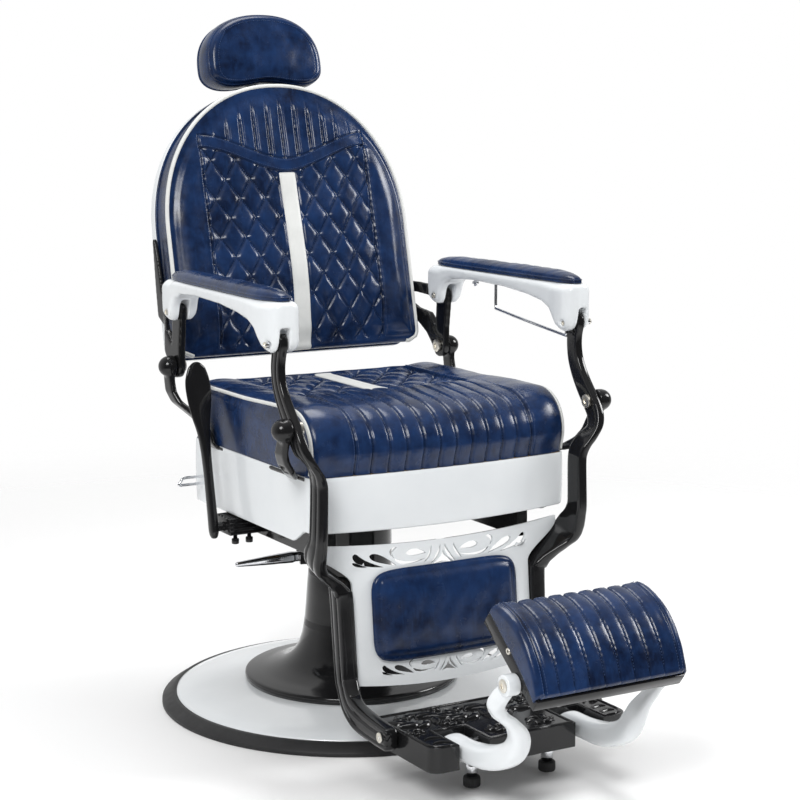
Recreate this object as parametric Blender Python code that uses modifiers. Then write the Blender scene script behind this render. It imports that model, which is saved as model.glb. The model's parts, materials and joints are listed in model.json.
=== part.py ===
"""Barber chair with a hydraulic base, a reclining back and a leg rest linked to it.

Metres, +Z up. The chair faces -Y and +X is the sitter's left. The origin is on the floor, on the
swivel axis. Pieces in left and right pairs are made once for each side by a loop.
"""
import math

import bmesh
import bpy
from mathutils import Matrix, Vector

# Clearances
GAP = 0.0003
RUNNING_GAP = 0.0004

# Base and column
BASE_RADIUS = 0.330
RUBBER_WIDTH = 0.025
DISC_THICKNESS = 0.008
DOME_RISE = 0.0305
FLANGE_RADIUS = 0.186
COVER_TOP = 0.228
CYLINDER_RADIUS = 0.052
RAM_RADIUS = 0.034
RAM_TOP = 0.330
PUMP_ANGLE = math.radians(165.8)
PUMP_PIVOT_REACH = 0.083
PUMP_PIVOT_HEIGHT = 0.256
PUMP_TIP_REACH = 0.205

# Seat
SEAT_HALF_WIDTH = 0.235
SEAT_PANEL_HALF_WIDTH = 0.163
SEAT_EDGE = 0.221
SEAT_REAR = 0.120
SEAT_FRONT = -0.325
SEAT_BOW = 0.42
SEAT_BASE = 0.460
SEAT_TOP = 0.557
BOX_HALF_WIDTH = 0.2365
BOX_BOTTOM = 0.352
BOX_FRONT_BOTTOM = 0.3685
BOX_CORNER_RISE = 0.005
BOX_WALL = 0.004
BOX_CORNER = 0.012
BOX_BOW = 0.25
FRAME_HALF_WIDTH = 0.190
FRAME_FRONT = -0.235
FRONT_RAIL_BOTTOM = 0.358
FRAME_BOTTOM = 0.348
FRAME_TOP = 0.378
BOARD_THICKNESS = 0.016
FLANGE_THICKNESS = 0.006
FLANGE_INNER = 0.185
FRONT_FLANGE = (-0.262, -0.160)
REAR_FLANGE = (0.010, 0.080)
SEAT_ROLL = -0.238
SEAT_FALL = 0.066
SEAT_QUILT_FRONT = -0.137

# Pivots of the recline linkage, as (y, z)
REAR_PIVOT = (0.1315, 0.585)
FRONT_PIVOT = (-0.321, 0.544)
ARM_REAR = (0.117, 0.679)
ARM_FRONT = (-0.277, 0.669)
ARM_REAR_X = 0.262
ARM_FRONT_X = 0.2735
PIVOT_BOLT_RADIUS = 0.007
FRONT_HUB_INNER = 0.2818
FRONT_BALL_X = 0.2928
REAR_HUB_INNER = 0.2690
REAR_BALL_X = 0.2785
HUB_RADIUS = 0.0185
ARM_TOP = 0.7335
ARM_PIN_RADIUS = 0.0045
LINK_PLAY = 0.0028

# Back, in its own plane: x across, s up the back, n out of its front
BACK_TILT = math.radians(12.9)
BACK_FOOT = (0.0, 0.165, 0.592)
BACK_HALF_WIDTH = 0.238
BACK_SIDE = 0.222
BACK_RISE = 0.255
ARCH_FULLNESS = 0.95
BACK_DEPTH = 0.055
SHELL_DEPTH = 0.020
STRIP_HALF_WIDTH = 0.016
CHANNEL_PITCH = 0.0272
DIAMOND_WIDTH = 0.0544
DIAMOND_HEIGHT = 0.066
V_CORNER = 0.365
V_VERTEX = 0.318
V_BAND = 0.024

# Headrest, in the plane of the back
HEADREST_HALF_WIDTH = 0.1135
HEADREST_WIDEST = 0.522
HEADREST_TOP = 0.612
HEADREST_BOTTOM = 0.477
HEADREST_HOLLOW = 0.012
HEADREST_REAR = -0.085
HEADREST_FRONT = -0.030
POST_HALF_WIDTH = 0.0125
POST_FRONT = -0.090
POST_REAR = -0.099

# Leg rest
PANEL_TOP = 0.352
PANEL_BOTTOM = 0.126
PANEL_TOP_SAG = 0.0115
PANEL_BOTTOM_SAG = 0.012
PANEL_THICKNESS = 0.005
PANEL_BOW = 0.010
PANEL_EDGE_Y = -0.290
PANEL_EDGE_Z = 0.357
PANEL_LEAN = 0.100
CALF_HALF_WIDTH = 0.134
CALF_BOTTOM = 0.158
CALF_TOP = 0.303
PLATFORM_HALF_WIDTH = 0.177
PLATFORM_FRONT = -0.565
PLATFORM_REAR = -0.390
PLATFORM_BOTTOM = 0.059
PLATFORM_TOP = 0.098
SLOT_INNER = 0.078
SLOT_OUTER = 0.130
SLOT_REAR = -0.495
FOOT_BOLT = (-0.452, 0.0880)
PEG_X = 0.069
PEG_Y = -0.502
PEG_BOTTOM = 0.004

# Pad arms and foot pad
PAD_ARM_PIVOT = (-0.515, 0.080)
TRAY_PIVOT = (-0.708, 0.229)
DRUM_RADIUS = 0.0158
DRUM_INNER = 0.1290
DRUM_OUTER = 0.1491
SCREW_RADIUS = 0.0098
PEG_TIP_LENGTH = 0.0165
TRAY_MIDDLE = (-0.687, 0.249)
TRAY_PITCH = math.radians(37.65)
TRAY_HALF_WIDTH = 0.1285
TRAY_HALF_LENGTH = 0.080
TRAY_DEPTH = 0.020
CHEEK_THICKNESS = 0.004
CHEEK_DROP = 0.009
FOOT_CROWN = 0.030
FOOT_CHANNELS = 11

# Recline lever
LEVER_PIVOT = (-0.015, 0.333)
LEVER_X = -0.268

# Loop handle through the right side of the seat box: heights and outer ends of its two legs
HANDLE_Y = 0.088
HANDLE_INNER = -0.192
HANDLE_HIGH = (-0.276, 0.399)
HANDLE_LOW = (-0.284, 0.387)
HANDLE_WIRE = 0.0024

SIDES = {"left": 1, "right": -1}

# Where each moving body turns or slides
PIVOTS = {
    "base": (0, 0, 0),
    "pump_lever": (
        PUMP_PIVOT_REACH * math.cos(PUMP_ANGLE),
        PUMP_PIVOT_REACH * math.sin(PUMP_ANGLE),
        PUMP_PIVOT_HEIGHT,
    ),
    "ram": (0, 0, RAM_TOP),
    "seat": (0, 0, RAM_TOP),
    "recline_lever": (LEVER_X, *LEVER_PIVOT),
    "side_handle": (HANDLE_LOW[0], HANDLE_Y, HANDLE_LOW[1]),
    "back": (0, *REAR_PIVOT),
    "headrest": (0, 0.25, 1.05),
    "armrest_left": (ARM_REAR_X, *ARM_REAR),
    "armrest_right": (-ARM_REAR_X, *ARM_REAR),
    "leg_rest": (0, *FRONT_PIVOT),
    "pad_arms": (0, *PAD_ARM_PIVOT),
    "foot_pad": (0, *TRAY_PIVOT),
}


def frame_matrix(origin, pitch):
    """A frame that keeps X, with its second axis pitched up from +Y and its third axis square to it."""
    up = Vector((0, math.cos(pitch), math.sin(pitch)))
    out = Vector((0, -math.sin(pitch), math.cos(pitch)))
    matrix = Matrix((Vector((1, 0, 0)), up, out)).transposed().to_4x4()
    matrix.translation = Vector(origin)
    return matrix


BACK = frame_matrix(BACK_FOOT, math.pi / 2 - BACK_TILT)
TRAY = frame_matrix((0, *TRAY_MIDDLE), TRAY_PITCH)
SIDE_VIEW = Matrix(((0, 0, 1, 0), (1, 0, 0, 0), (0, 1, 0, 0), (0, 0, 0, 1)))


# Scene, materials and bodies

def fresh_collection(name):
    collection = bpy.data.collections.new(name)
    bpy.context.scene.collection.children.link(collection)
    return collection


def material(name, colour, roughness, metallic=0.0):
    finish = bpy.data.materials.new(name)
    finish.use_nodes = True
    shader = finish.node_tree.nodes["Principled BSDF"]
    shader.inputs["Base Color"].default_value = (*colour, 1)
    shader.inputs["Roughness"].default_value = roughness
    shader.inputs["Metallic"].default_value = metallic
    return finish


for leftover in list(bpy.data.objects):
    bpy.data.objects.remove(leftover)

PARTS = fresh_collection("Barber chair")
CUTTERS = fresh_collection("Cutters")

LEATHER = material("Navy leather", (0.018, 0.045, 0.150), 0.28)
ENAMEL = material("White enamel", (0.80, 0.82, 0.84), 0.18)
BLACK = material("Black enamel", (0.012, 0.012, 0.013), 0.15)
CHROME = material("Chrome", (0.78, 0.78, 0.80), 0.08, 1.0)
STEEL = material("Plain steel", (0.45, 0.46, 0.48), 0.35, 1.0)
RUBBER = material("Black rubber", (0.015, 0.015, 0.016), 0.60)
PLYWOOD = material("Plywood", (0.55, 0.38, 0.20), 0.70)

BODIES = {}
for body_name, place in PIVOTS.items():
    empty = bpy.data.objects.new(body_name + "_axis", None)
    empty.location = place
    PARTS.objects.link(empty)
    BODIES[body_name] = empty
bpy.context.view_layer.update()


def finished(obj, body, finish, smooth=None):
    """Put a piece on its body with its finish, and shade it."""
    obj.data.materials.clear()
    obj.data.materials.append(finish)
    if smooth is not None:
        obj.data.shade_smooth()
        obj.data.set_sharp_from_angle(angle=math.radians(smooth))
    obj.parent = BODIES[body]
    obj.matrix_parent_inverse = BODIES[body].matrix_world.inverted()
    return obj


# Shapes

def add_mesh(name, bm, matrix=None):
    """A new object from a bmesh, with its faces pointing out."""
    bmesh.ops.recalc_face_normals(bm, faces=bm.faces)
    mesh = bpy.data.meshes.new(name)
    bm.to_mesh(mesh)
    bm.free()
    if matrix:
        mesh.transform(matrix)
    obj = bpy.data.objects.new(name, mesh)
    PARTS.objects.link(obj)
    return obj


def block(name, low, high, bevel=0.0, matrix=None):
    """A box between two corners, with rounded edges if bevel is given."""
    bm = bmesh.new()
    size = Vector(high) - Vector(low)
    middle = (Vector(high) + Vector(low)) / 2
    bmesh.ops.create_cube(bm, size=1, matrix=Matrix.Translation(middle) @ Matrix.Diagonal((*size, 1)))
    obj = add_mesh(name, bm, matrix)
    if bevel:
        rounding = obj.modifiers.new("Rounded edges", "BEVEL")
        rounding.width = bevel
        rounding.segments = 2
    return obj


def rod_x(name, radius, x_from, x_to, yz, sides=12):
    """A round bar along X."""
    bm = bmesh.new()
    place = Matrix.Translation(((x_from + x_to) / 2, *yz)) @ Matrix.Rotation(math.pi / 2, 4, "Y")
    bmesh.ops.create_cone(bm, cap_ends=True, segments=sides, radius1=radius, radius2=radius,
                          depth=abs(x_to - x_from), matrix=place)
    return add_mesh(name, bm)


def bolt(name, side, place, tip_x, face_x, head_x, radius, head_radius):
    """A bolt along X: from its tip to the face its head sits on, then to the outer side of the head."""
    sign = SIDES[side]
    turn = sign if head_x > tip_x else -sign
    length = abs(head_x - tip_x)
    shank = abs(face_x - tip_x)
    head = [(0, length), (head_radius, length), (head_radius, shank)]
    profile = head + [(radius, shank), (radius, 0), (0, 0)]
    matrix = Matrix.Translation((sign * tip_x, *place)) @ Matrix.Rotation(turn * math.pi / 2, 4, "Y")
    return turned(f"{name}_{side}", profile, 12, matrix=matrix)


def turned(name, profile, steps, closed=False, matrix=None):
    """A profile of (radius, height) points, outer side from top to bottom, turned about Z."""
    count = len(profile)
    edges = [(i, i + 1) for i in range(count - 1)]
    if closed:
        edges.append((count - 1, 0))
    mesh = bpy.data.meshes.new(name)
    mesh.from_pydata([(radius, 0, height) for radius, height in profile], edges, [])
    obj = bpy.data.objects.new(name, mesh)
    PARTS.objects.link(obj)
    turn = obj.modifiers.new("Turn", "SCREW")
    turn.steps = steps
    turn.render_steps = steps
    turn.use_merge_vertices = True
    turn.merge_threshold = 0.00001
    if matrix:
        obj.matrix_world = matrix
    return obj


def curve_mesh(name, curve, matrix=None):
    """A curve made into a welded mesh object."""
    source = bpy.data.objects.new(name + "_curve", curve)
    PARTS.objects.link(source)
    graph = bpy.context.evaluated_depsgraph_get()
    mesh = bpy.data.meshes.new_from_object(source.evaluated_get(graph))
    bpy.data.objects.remove(source)
    bm = bmesh.new()
    bm.from_mesh(mesh)
    bpy.data.meshes.remove(mesh)
    bmesh.ops.remove_doubles(bm, verts=bm.verts, dist=0.00001)
    return add_mesh(name, bm, matrix)


def plate(name, outlines, thickness, matrix=None):
    """A flat plate from closed outlines: the first is its edge, the others are holes."""
    curve = bpy.data.curves.new(name, "CURVE")
    curve.dimensions = "2D"
    curve.fill_mode = "BOTH"
    curve.extrude = thickness / 2
    for outline in outlines:
        spline = curve.splines.new("POLY")
        spline.points.add(len(outline) - 1)
        spline.use_cyclic_u = True
        for point, (across, up) in zip(spline.points, outline):
            point.co = (across, up, 0, 1)
    return curve_mesh(name, curve, matrix)


def wire(name, route, radius):
    """A round wire through points in space."""
    curve = bpy.data.curves.new(name, "CURVE")
    curve.dimensions = "3D"
    curve.bevel_depth = radius
    curve.bevel_resolution = 2
    curve.use_fill_caps = True
    spline = curve.splines.new("POLY")
    spline.points.add(len(route) - 1)
    for point, place in zip(spline.points, route):
        point.co = (*place, 1)
    return curve_mesh(name, curve)


def loft(name, rings, matrix=None):
    """A closed body through rings of equal point count, capped at both ends."""
    bm = bmesh.new()
    loops = [[bm.verts.new(point) for point in ring] for ring in rings]
    for ring, following in zip(loops, loops[1:]):
        for i in range(len(ring)):
            j = (i + 1) % len(ring)
            bm.faces.new((ring[i], ring[j], following[j], following[i]))
    bm.faces.new(loops[0])
    bm.faces.new(loops[-1])
    return add_mesh(name, bm, matrix)


def section(centre, across, normal, half_across, half_normal, chamfer):
    """Eight points of a rectangle with chamfered corners; a chamfer of 0.586 makes it an octagon."""
    cut = chamfer * min(half_across, half_normal)
    corners = (
        (half_across, half_normal - cut), (half_across - cut, half_normal),
        (cut - half_across, half_normal), (-half_across, half_normal - cut),
        (-half_across, cut - half_normal), (cut - half_across, -half_normal),
        (half_across - cut, -half_normal), (half_across, cut - half_normal),
    )
    return [centre + across * a + normal * n for a, n in corners]


def swept(name, stations, across, chamfer, mirror=1):
    """A bar through stations of (x, y, z, half width across, half width in the bend).

    Sections keep the across direction, so that faces square to it stay flat. A mirror of -1 makes
    the other side's bar.
    """
    centres = [Vector(station[:3]) for station in stations]
    across = Vector(across)
    rings = []
    for i, station in enumerate(stations):
        ahead = centres[min(i + 1, len(centres) - 1)] - centres[max(i - 1, 0)]
        along = (ahead - across * ahead.dot(across)).normalized()
        ring = section(centres[i], across, along.cross(across), station[3], station[4], chamfer)
        rings.append([Vector((point.x * mirror, point.y, point.z)) for point in ring])
    return loft(name, rings)


def change(target, tool, operation):
    """Cut a tool out of a piece, or join it on; the tool stays as a hidden guide."""
    for collection in tool.users_collection:
        collection.objects.unlink(tool)
    CUTTERS.objects.link(tool)
    tool.hide_render = True
    tool.display_type = "WIRE"
    edit = target.modifiers.new(tool.name, "BOOLEAN")
    edit.operation = operation
    edit.object = tool
    return target


def cut(target, tool):
    return change(target, tool, "DIFFERENCE")


def join(target, tool):
    return change(target, tool, "UNION")


def ease(value):
    """Smooth step from 0 to 1."""
    value = min(max(value, 0.0), 1.0)
    return value * value * (3 - 2 * value)


def split_along_seams(bm, depth):
    """Split each square along the diagonal whose ends lie deeper, so that seams stay straight."""
    for face in [face for face in bm.faces if len(face.verts) == 4]:
        a, b, c, d = face.verts
        if depth(a.co) + depth(c.co) < depth(b.co) + depth(d.co):
            bmesh.utils.face_split(face, a, c)
        else:
            bmesh.utils.face_split(face, b, d)


def padded(name, columns, rows, shape, floor, matrix=None):
    """A cushion from a grid: shape maps (u, v) in -1..1 to its crowned top, floor to its base edge."""
    bm = bmesh.new()
    bmesh.ops.create_grid(bm, x_segments=columns, y_segments=rows, size=1)
    corners = {vert: (vert.co.x, vert.co.y) for vert in bm.verts}
    rim = [edge for edge in bm.edges if edge.is_boundary]
    skirt = bmesh.ops.extrude_edge_only(bm, edges=rim)["geom"]
    lower = [item for item in skirt if isinstance(item, bmesh.types.BMVert)]
    for vert in lower:
        corners[vert] = (vert.co.x, vert.co.y)
    for vert, (u, v) in corners.items():
        vert.co = floor(u, v) if vert in lower else shape(u, v)
    edge_loop = [edge for edge in bm.edges if edge.is_boundary]
    bmesh.ops.contextual_create(bm, geom=edge_loop)
    return add_mesh(name, bm, matrix)


# Base, column and pump

def make_base():
    white_radius = BASE_RADIUS - RUBBER_WIDTH - GAP
    disc = turned("base_disc", [
        (0, DISC_THICKNESS), (white_radius, DISC_THICKNESS), (white_radius, 0), (0, 0),
    ], 36)
    finished(disc, "base", STEEL)

    foot = DISC_THICKNESS + GAP
    sheet = 0.003
    top = foot + DOME_RISE
    dome_radii = (0.110, 0.180, 0.235, 0.278, white_radius)
    dome_rise = (1.0, 0.99, 0.88, 0.65, 0.36)
    outer = [(radius, foot + DOME_RISE * rise) for radius, rise in zip(dome_radii, dome_rise)]
    inner = [(radius, height - sheet) for radius, height in outer[:-1]]
    rim = [(white_radius, foot), (white_radius - sheet, foot)]
    dome = turned("base_dome", outer + rim + inner[::-1], 36, closed=True)
    finished(dome, "base", ENAMEL, 40)

    inside = BASE_RADIUS - RUBBER_WIDTH
    ring = turned("base_rubber_ring", [
        (inside, 0.0185), (inside + 0.007, 0.0185), (BASE_RADIUS, 0.006), (BASE_RADIUS, 0), (inside, 0),
    ], 36, closed=True)
    finished(ring, "base", RUBBER, 30)

    wall = 0.004
    bell = [
        (0.0745, COVER_TOP), (0.0770, 0.200), (0.0795, 0.165), (0.0830, 0.132), (0.0895, 0.104),
        (0.1010, 0.083), (0.1200, 0.067), (0.1460, 0.0575), (0.1700, 0.0530),
        (FLANGE_RADIUS - 0.003, 0.0505), (FLANGE_RADIUS, 0.0460), (FLANGE_RADIUS - 0.002, top + GAP),
    ]
    hollow = [(radius - wall, height - wall * 0.6) for radius, height in bell[1:8:2]]
    skin = bell + [(0.150, top + GAP)] + hollow[::-1] + [(0.0705, COVER_TOP)]
    cover = turned("column_cover", skin, 26, closed=True)
    finished(cover, "base", BLACK, 40)

    bore = RAM_RADIUS + 0.0006
    height = PUMP_PIVOT_HEIGHT + 0.006
    cylinder = turned("pump_cylinder", [
        (bore, height), (CYLINDER_RADIUS, height), (CYLINDER_RADIUS, foot), (bore, foot),
    ], 24, closed=True)
    finished(cylinder, "base", STEEL, 40)


def make_pump():
    around = Matrix.Rotation(PUMP_ANGLE, 4, "Z")
    collar_inside = CYLINDER_RADIUS + 2 * GAP
    collar_top = PUMP_PIVOT_HEIGHT + 0.012
    collar_low = COVER_TOP + GAP
    head = turned("pump_head", [
        (collar_inside, collar_top), (0.070, collar_top), (0.070, collar_low), (collar_inside, collar_low),
    ], 24, closed=True)
    half_lug = 0.017
    lug = block("pump_lug", (0.062, -half_lug, PUMP_PIVOT_HEIGHT - 0.012),
                (0.094, half_lug, collar_top - 0.001), 0, around)
    join(head, lug)
    cut(head, block("pump_slot", (0.0715, -0.0083, 0.20), (0.11, 0.0083, 0.30), 0, around))
    pivot = around @ Matrix.Translation((PUMP_PIVOT_REACH, 0, PUMP_PIVOT_HEIGHT))
    across = pivot @ Matrix.Rotation(math.pi / 2, 4, "X")

    def cross_bar(name, radius, half_length):
        bm = bmesh.new()
        bmesh.ops.create_cone(bm, cap_ends=True, segments=12, radius1=radius, radius2=radius,
                              depth=2 * half_length, matrix=across)
        return add_mesh(name, bm)

    pin_radius = 0.004
    cut(head, cross_bar("pump_pin_hole", pin_radius + RUNNING_GAP, 0.03))
    finished(head, "base", BLACK, 40)
    finished(cross_bar("pump_pin", pin_radius, half_lug - 0.0005), "base", STEEL, 40)

    height = PUMP_PIVOT_HEIGHT
    reaches = (
        (0.0755, 0.0075, 0.0060), (0.0780, 0.0075, 0.0085), (0.1000, 0.0075, 0.0085),
        (0.1060, 0.0095, 0.0095), (0.1500, 0.0075, 0.0075),
        (PUMP_TIP_REACH - 0.003, 0.0048, 0.0042), (PUMP_TIP_REACH, 0.0030, 0.0022),
    )
    drop = 0.009 / (PUMP_TIP_REACH - PUMP_PIVOT_REACH)
    stations = [
        (reach, 0, height - drop * max(reach - PUMP_PIVOT_REACH, 0), across_half, half)
        for reach, across_half, half in reaches
    ]
    lever = swept("pump_lever", stations, (0, 1, 0), 0.5)
    lever.data.transform(around)
    cut(lever, cross_bar("pump_lever_hole", pin_radius + RUNNING_GAP, 0.03))
    finished(lever, "pump_lever", CHROME, 40)

    cap = 0.0700
    skirt = collar_top + 0.004
    ram = turned("ram", [
        (0, RAM_TOP), (cap, RAM_TOP), (cap, skirt), (RAM_RADIUS, skirt), (RAM_RADIUS, 0.025), (0, 0.025),
    ], 24)
    finished(ram, "ram", BLACK, 40)


# Seat

def seat_front(x):
    """Bowed front of the seat cushion."""
    return SEAT_FRONT + SEAT_BOW * x * x


def bow_outline(half_width, front, rear, corner, steps=12):
    """Plan outline with a bowed front, straight sides and rounded corners."""
    def front_at(x):
        return front + BOX_BOW * x * x

    turn_in = half_width - corner
    outline = []
    for i in range(steps + 1):
        x = -turn_in + 2 * turn_in * i / steps
        outline.append((x, front_at(x)))
    side_start = front_at(turn_in) + 1.4 * corner
    outline.append((half_width - 0.25 * corner, front_at(turn_in) + 0.6 * corner))
    outline.append((half_width, side_start))
    for angle in (0, 30, 60, 90):
        a = math.radians(angle)
        outline.append((turn_in + corner * math.cos(a), rear - corner + corner * math.sin(a)))
    mirrored = [(-x, y) for x, y in reversed(outline[steps + 1:])]
    return outline + mirrored


def make_seat_structure():
    cap_gap = RAM_TOP + GAP
    swivel = block("swivel_plate", (-0.13, -0.11, cap_gap), (0.13, 0.11, FRAME_BOTTOM - GAP), 0.003)
    finished(swivel, "seat", BLACK)

    def rectangle(half_width, y_from, y_to):
        return [(-half_width, y_from), (half_width, y_from), (half_width, y_to), (-half_width, y_to)]

    rail = 0.040
    inside = FRAME_HALF_WIDTH - rail
    frame_level = Matrix.Translation((0, 0, (FRAME_BOTTOM + FRAME_TOP) / 2))
    frame = plate("seat_frame", [
        rectangle(FRAME_HALF_WIDTH, FRAME_FRONT, 0.100),
        rectangle(inside, FRAME_FRONT + rail, -0.100), rectangle(inside, -0.060, 0.060),
    ], FRAME_TOP - FRAME_BOTTOM, frame_level)
    cut(frame, block("front_rail_room", (-0.2, FRAME_FRONT - 0.01, FRAME_BOTTOM - 0.01),
                     (0.2, FRAME_FRONT + rail + 0.002, FRONT_RAIL_BOTTOM)))
    for side, sign in SIDES.items():
        low, high = sorted((sign * (FRAME_HALF_WIDTH - 0.019), sign * FRAME_HALF_WIDTH))
        join(frame, block(f"seat_bar_{side}", (low, -0.262, 0.316), (high, 0.085, FRAME_BOTTOM + 0.012)))
    finished(frame, "seat", BLACK)

    board_bottom = SEAT_BASE - GAP - BOARD_THICKNESS
    riser_bottom = FRAME_TOP + GAP
    riser_top = board_bottom - GAP
    riser_front = FRAME_FRONT + 0.005
    riser = plate("seat_riser", [
        rectangle(0.185, riser_front, 0.095), rectangle(0.165, riser_front + 0.020, 0.075),
    ], riser_top - riser_bottom, Matrix.Translation((0, 0, (riser_top + riser_bottom) / 2)))
    finished(riser, "seat", BLACK)

    box_front = SEAT_FRONT + 0.007
    box_rear = SEAT_REAR + 0.008
    outer = bow_outline(BOX_HALF_WIDTH, box_front, box_rear, BOX_CORNER)
    inner = bow_outline(BOX_HALF_WIDTH - BOX_WALL, box_front + BOX_WALL, box_rear - BOX_WALL,
                        BOX_CORNER - BOX_WALL)
    box_top = SEAT_BASE - GAP
    box = plate("seat_box", [outer, inner], box_top - BOX_BOTTOM,
                Matrix.Translation((0, 0, (box_top + BOX_BOTTOM) / 2)))
    for vert in box.data.vertices:
        if vert.co.z < BOX_BOTTOM + 0.001:
            rise = BOX_FRONT_BOTTOM - BOX_BOTTOM + BOX_CORNER_RISE * (vert.co.x / BOX_HALF_WIDTH) ** 2
            vert.co.z += rise * ease((-0.235 - vert.co.y) / 0.05)
    finished(box, "seat", ENAMEL, 50)

    for level, (_, z) in {"high": HANDLE_HIGH, "low": HANDLE_LOW}.items():
        hole = rod_x(f"handle_hole_{level}", HANDLE_WIRE + 0.0008, -BOX_HALF_WIDTH - 0.01,
                     -BOX_HALF_WIDTH + 0.02, (HANDLE_Y, z), 10)
        cut(box, hole)

    inset = BOX_WALL + GAP
    board_outline = bow_outline(BOX_HALF_WIDTH - inset, box_front + inset, box_rear - inset,
                                BOX_CORNER - inset)
    board = plate("seat_board", [board_outline], BOARD_THICKNESS,
                  Matrix.Translation((0, 0, board_bottom + BOARD_THICKNESS / 2)))
    finished(board, "seat", PLYWOOD)

    notch_depth = FLANGE_THICKNESS + 2 * GAP
    for name, (y_from, y_to) in {"front": FRONT_FLANGE, "rear": REAR_FLANGE}.items():
        for side, sign in SIDES.items():
            x_range = sorted((sign * (FLANGE_INNER - GAP), sign * 0.26))
            notch = block(f"{name}_notch_{side}", (x_range[0], y_from - GAP, box_top - notch_depth),
                          (x_range[1], y_to + GAP, box_top + 0.01))
            cut(box, notch)
            edit = board.modifiers.new(notch.name, "BOOLEAN")
            edit.object = notch


def make_bracket(name, side, pivot, hub_inner, ball_x, flange, route):
    """A flange under the seat cushion, and a strap along a route from it to a hub with a round end."""
    sign = SIDES[side]
    level = SEAT_BASE - 2 * GAP - FLANGE_THICKNESS / 2
    bracket = swept(f"{name}_{side}", route, (0, 1, 0), 0.3, sign)
    low, high = sorted((sign * FLANGE_INNER, sign * 0.2385))
    half = FLANGE_THICKNESS / 2
    tongue = block(f"{name}_flange_{side}", (low, flange[0], level - half), (high, flange[1], level + half))
    join(bracket, tongue)

    ball = ball_x - hub_inner
    angles = (0, 0.4, 0.8, 1.2, math.pi / 2)
    dome = [(HUB_RADIUS * math.sin(a), ball + HUB_RADIUS * math.cos(a)) for a in angles]
    turn = Matrix.Translation((sign * hub_inner, *pivot)) @ Matrix.Rotation(sign * math.pi / 2, 4, "Y")
    join(bracket, turned(f"{name}_hub_{side}", dome + [(HUB_RADIUS, 0), (0, 0)], 16, matrix=turn))
    start, end = hub_inner - 0.01, hub_inner + 0.0165
    hole = PIVOT_BOLT_RADIUS + RUNNING_GAP
    cut(bracket, rod_x(f"{name}_hole_{side}", hole, sign * start, sign * end, pivot))
    finished(bracket, "seat", BLACK, 40)


# Routes of the bracket straps as x, y, z, half width along Y, half thickness
FRONT_ROUTE = (
    (0.2250, -0.236, 0.4564, 0.0200, 0.0026), (0.2385, -0.240, 0.4566, 0.0200, 0.0028),
    (0.2480, -0.262, 0.4588, 0.0190, 0.0032), (0.2590, -0.284, 0.4650, 0.0180, 0.0040),
    (0.2720, -0.298, 0.4765, 0.0175, 0.0048), (0.2830, -0.303, 0.4910, 0.0170, 0.0052),
    (0.2880, -0.306, 0.5060, 0.0165, 0.0055), (0.2885, -0.313, 0.5230, 0.0155, 0.0055),
    (0.2885, *FRONT_PIVOT, 0.0140, 0.0055),
)
REAR_ROUTE = (
    (0.2250, 0.044, 0.4564, 0.0200, 0.0026), (0.2385, 0.044, 0.4566, 0.0200, 0.0028),
    (0.2425, 0.048, 0.4640, 0.0190, 0.0032), (0.2455, 0.058, 0.4840, 0.0180, 0.0038),
    (0.2515, 0.078, 0.5010, 0.0175, 0.0046), (0.2620, 0.098, 0.5145, 0.0170, 0.0050),
    (0.2730, 0.115, 0.5270, 0.0165, 0.0052), (0.2775, 0.126, 0.5430, 0.0160, 0.0055),
    (0.2780, 0.131, 0.5620, 0.0150, 0.0055), (0.2780, *REAR_PIVOT, 0.0140, 0.0055),
)


def make_brackets():
    for side in SIDES:
        make_bracket("front_bracket", side, FRONT_PIVOT, FRONT_HUB_INNER, FRONT_BALL_X,
                     FRONT_FLANGE, FRONT_ROUTE)
        make_bracket("rear_bracket", side, REAR_PIVOT, REAR_HUB_INNER, REAR_BALL_X,
                     REAR_FLANGE, REAR_ROUTE)
        front = bolt("front_pivot", side, FRONT_PIVOT, FRONT_HUB_INNER + 0.0155, 0.2664, 0.2630,
                     PIVOT_BOLT_RADIUS, 0.011)
        finished(front, "seat", CHROME, 40)
        rear = bolt("rear_pivot", side, REAR_PIVOT, REAR_HUB_INNER + 0.0155, 0.2551, 0.2516,
                    PIVOT_BOLT_RADIUS, 0.011)
        finished(rear, "seat", CHROME, 40)


def diamond_depth(across, along, width, height):
    """How far a quilted surface sinks, 0 in the middle of a diamond and 1 on its seams."""
    a = across / width + along / height
    b = across / width - along / height
    return max(abs(2 * (a - math.floor(a)) - 1), abs(2 * (b - math.floor(b)) - 1)) ** 2


def channel_depth(across, pitch):
    """How far a channelled surface sinks, 0 on a crest and 1 in a seam."""
    phase = across / pitch
    return abs(2 * (phase - math.floor(phase)) - 1) ** 2


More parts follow.
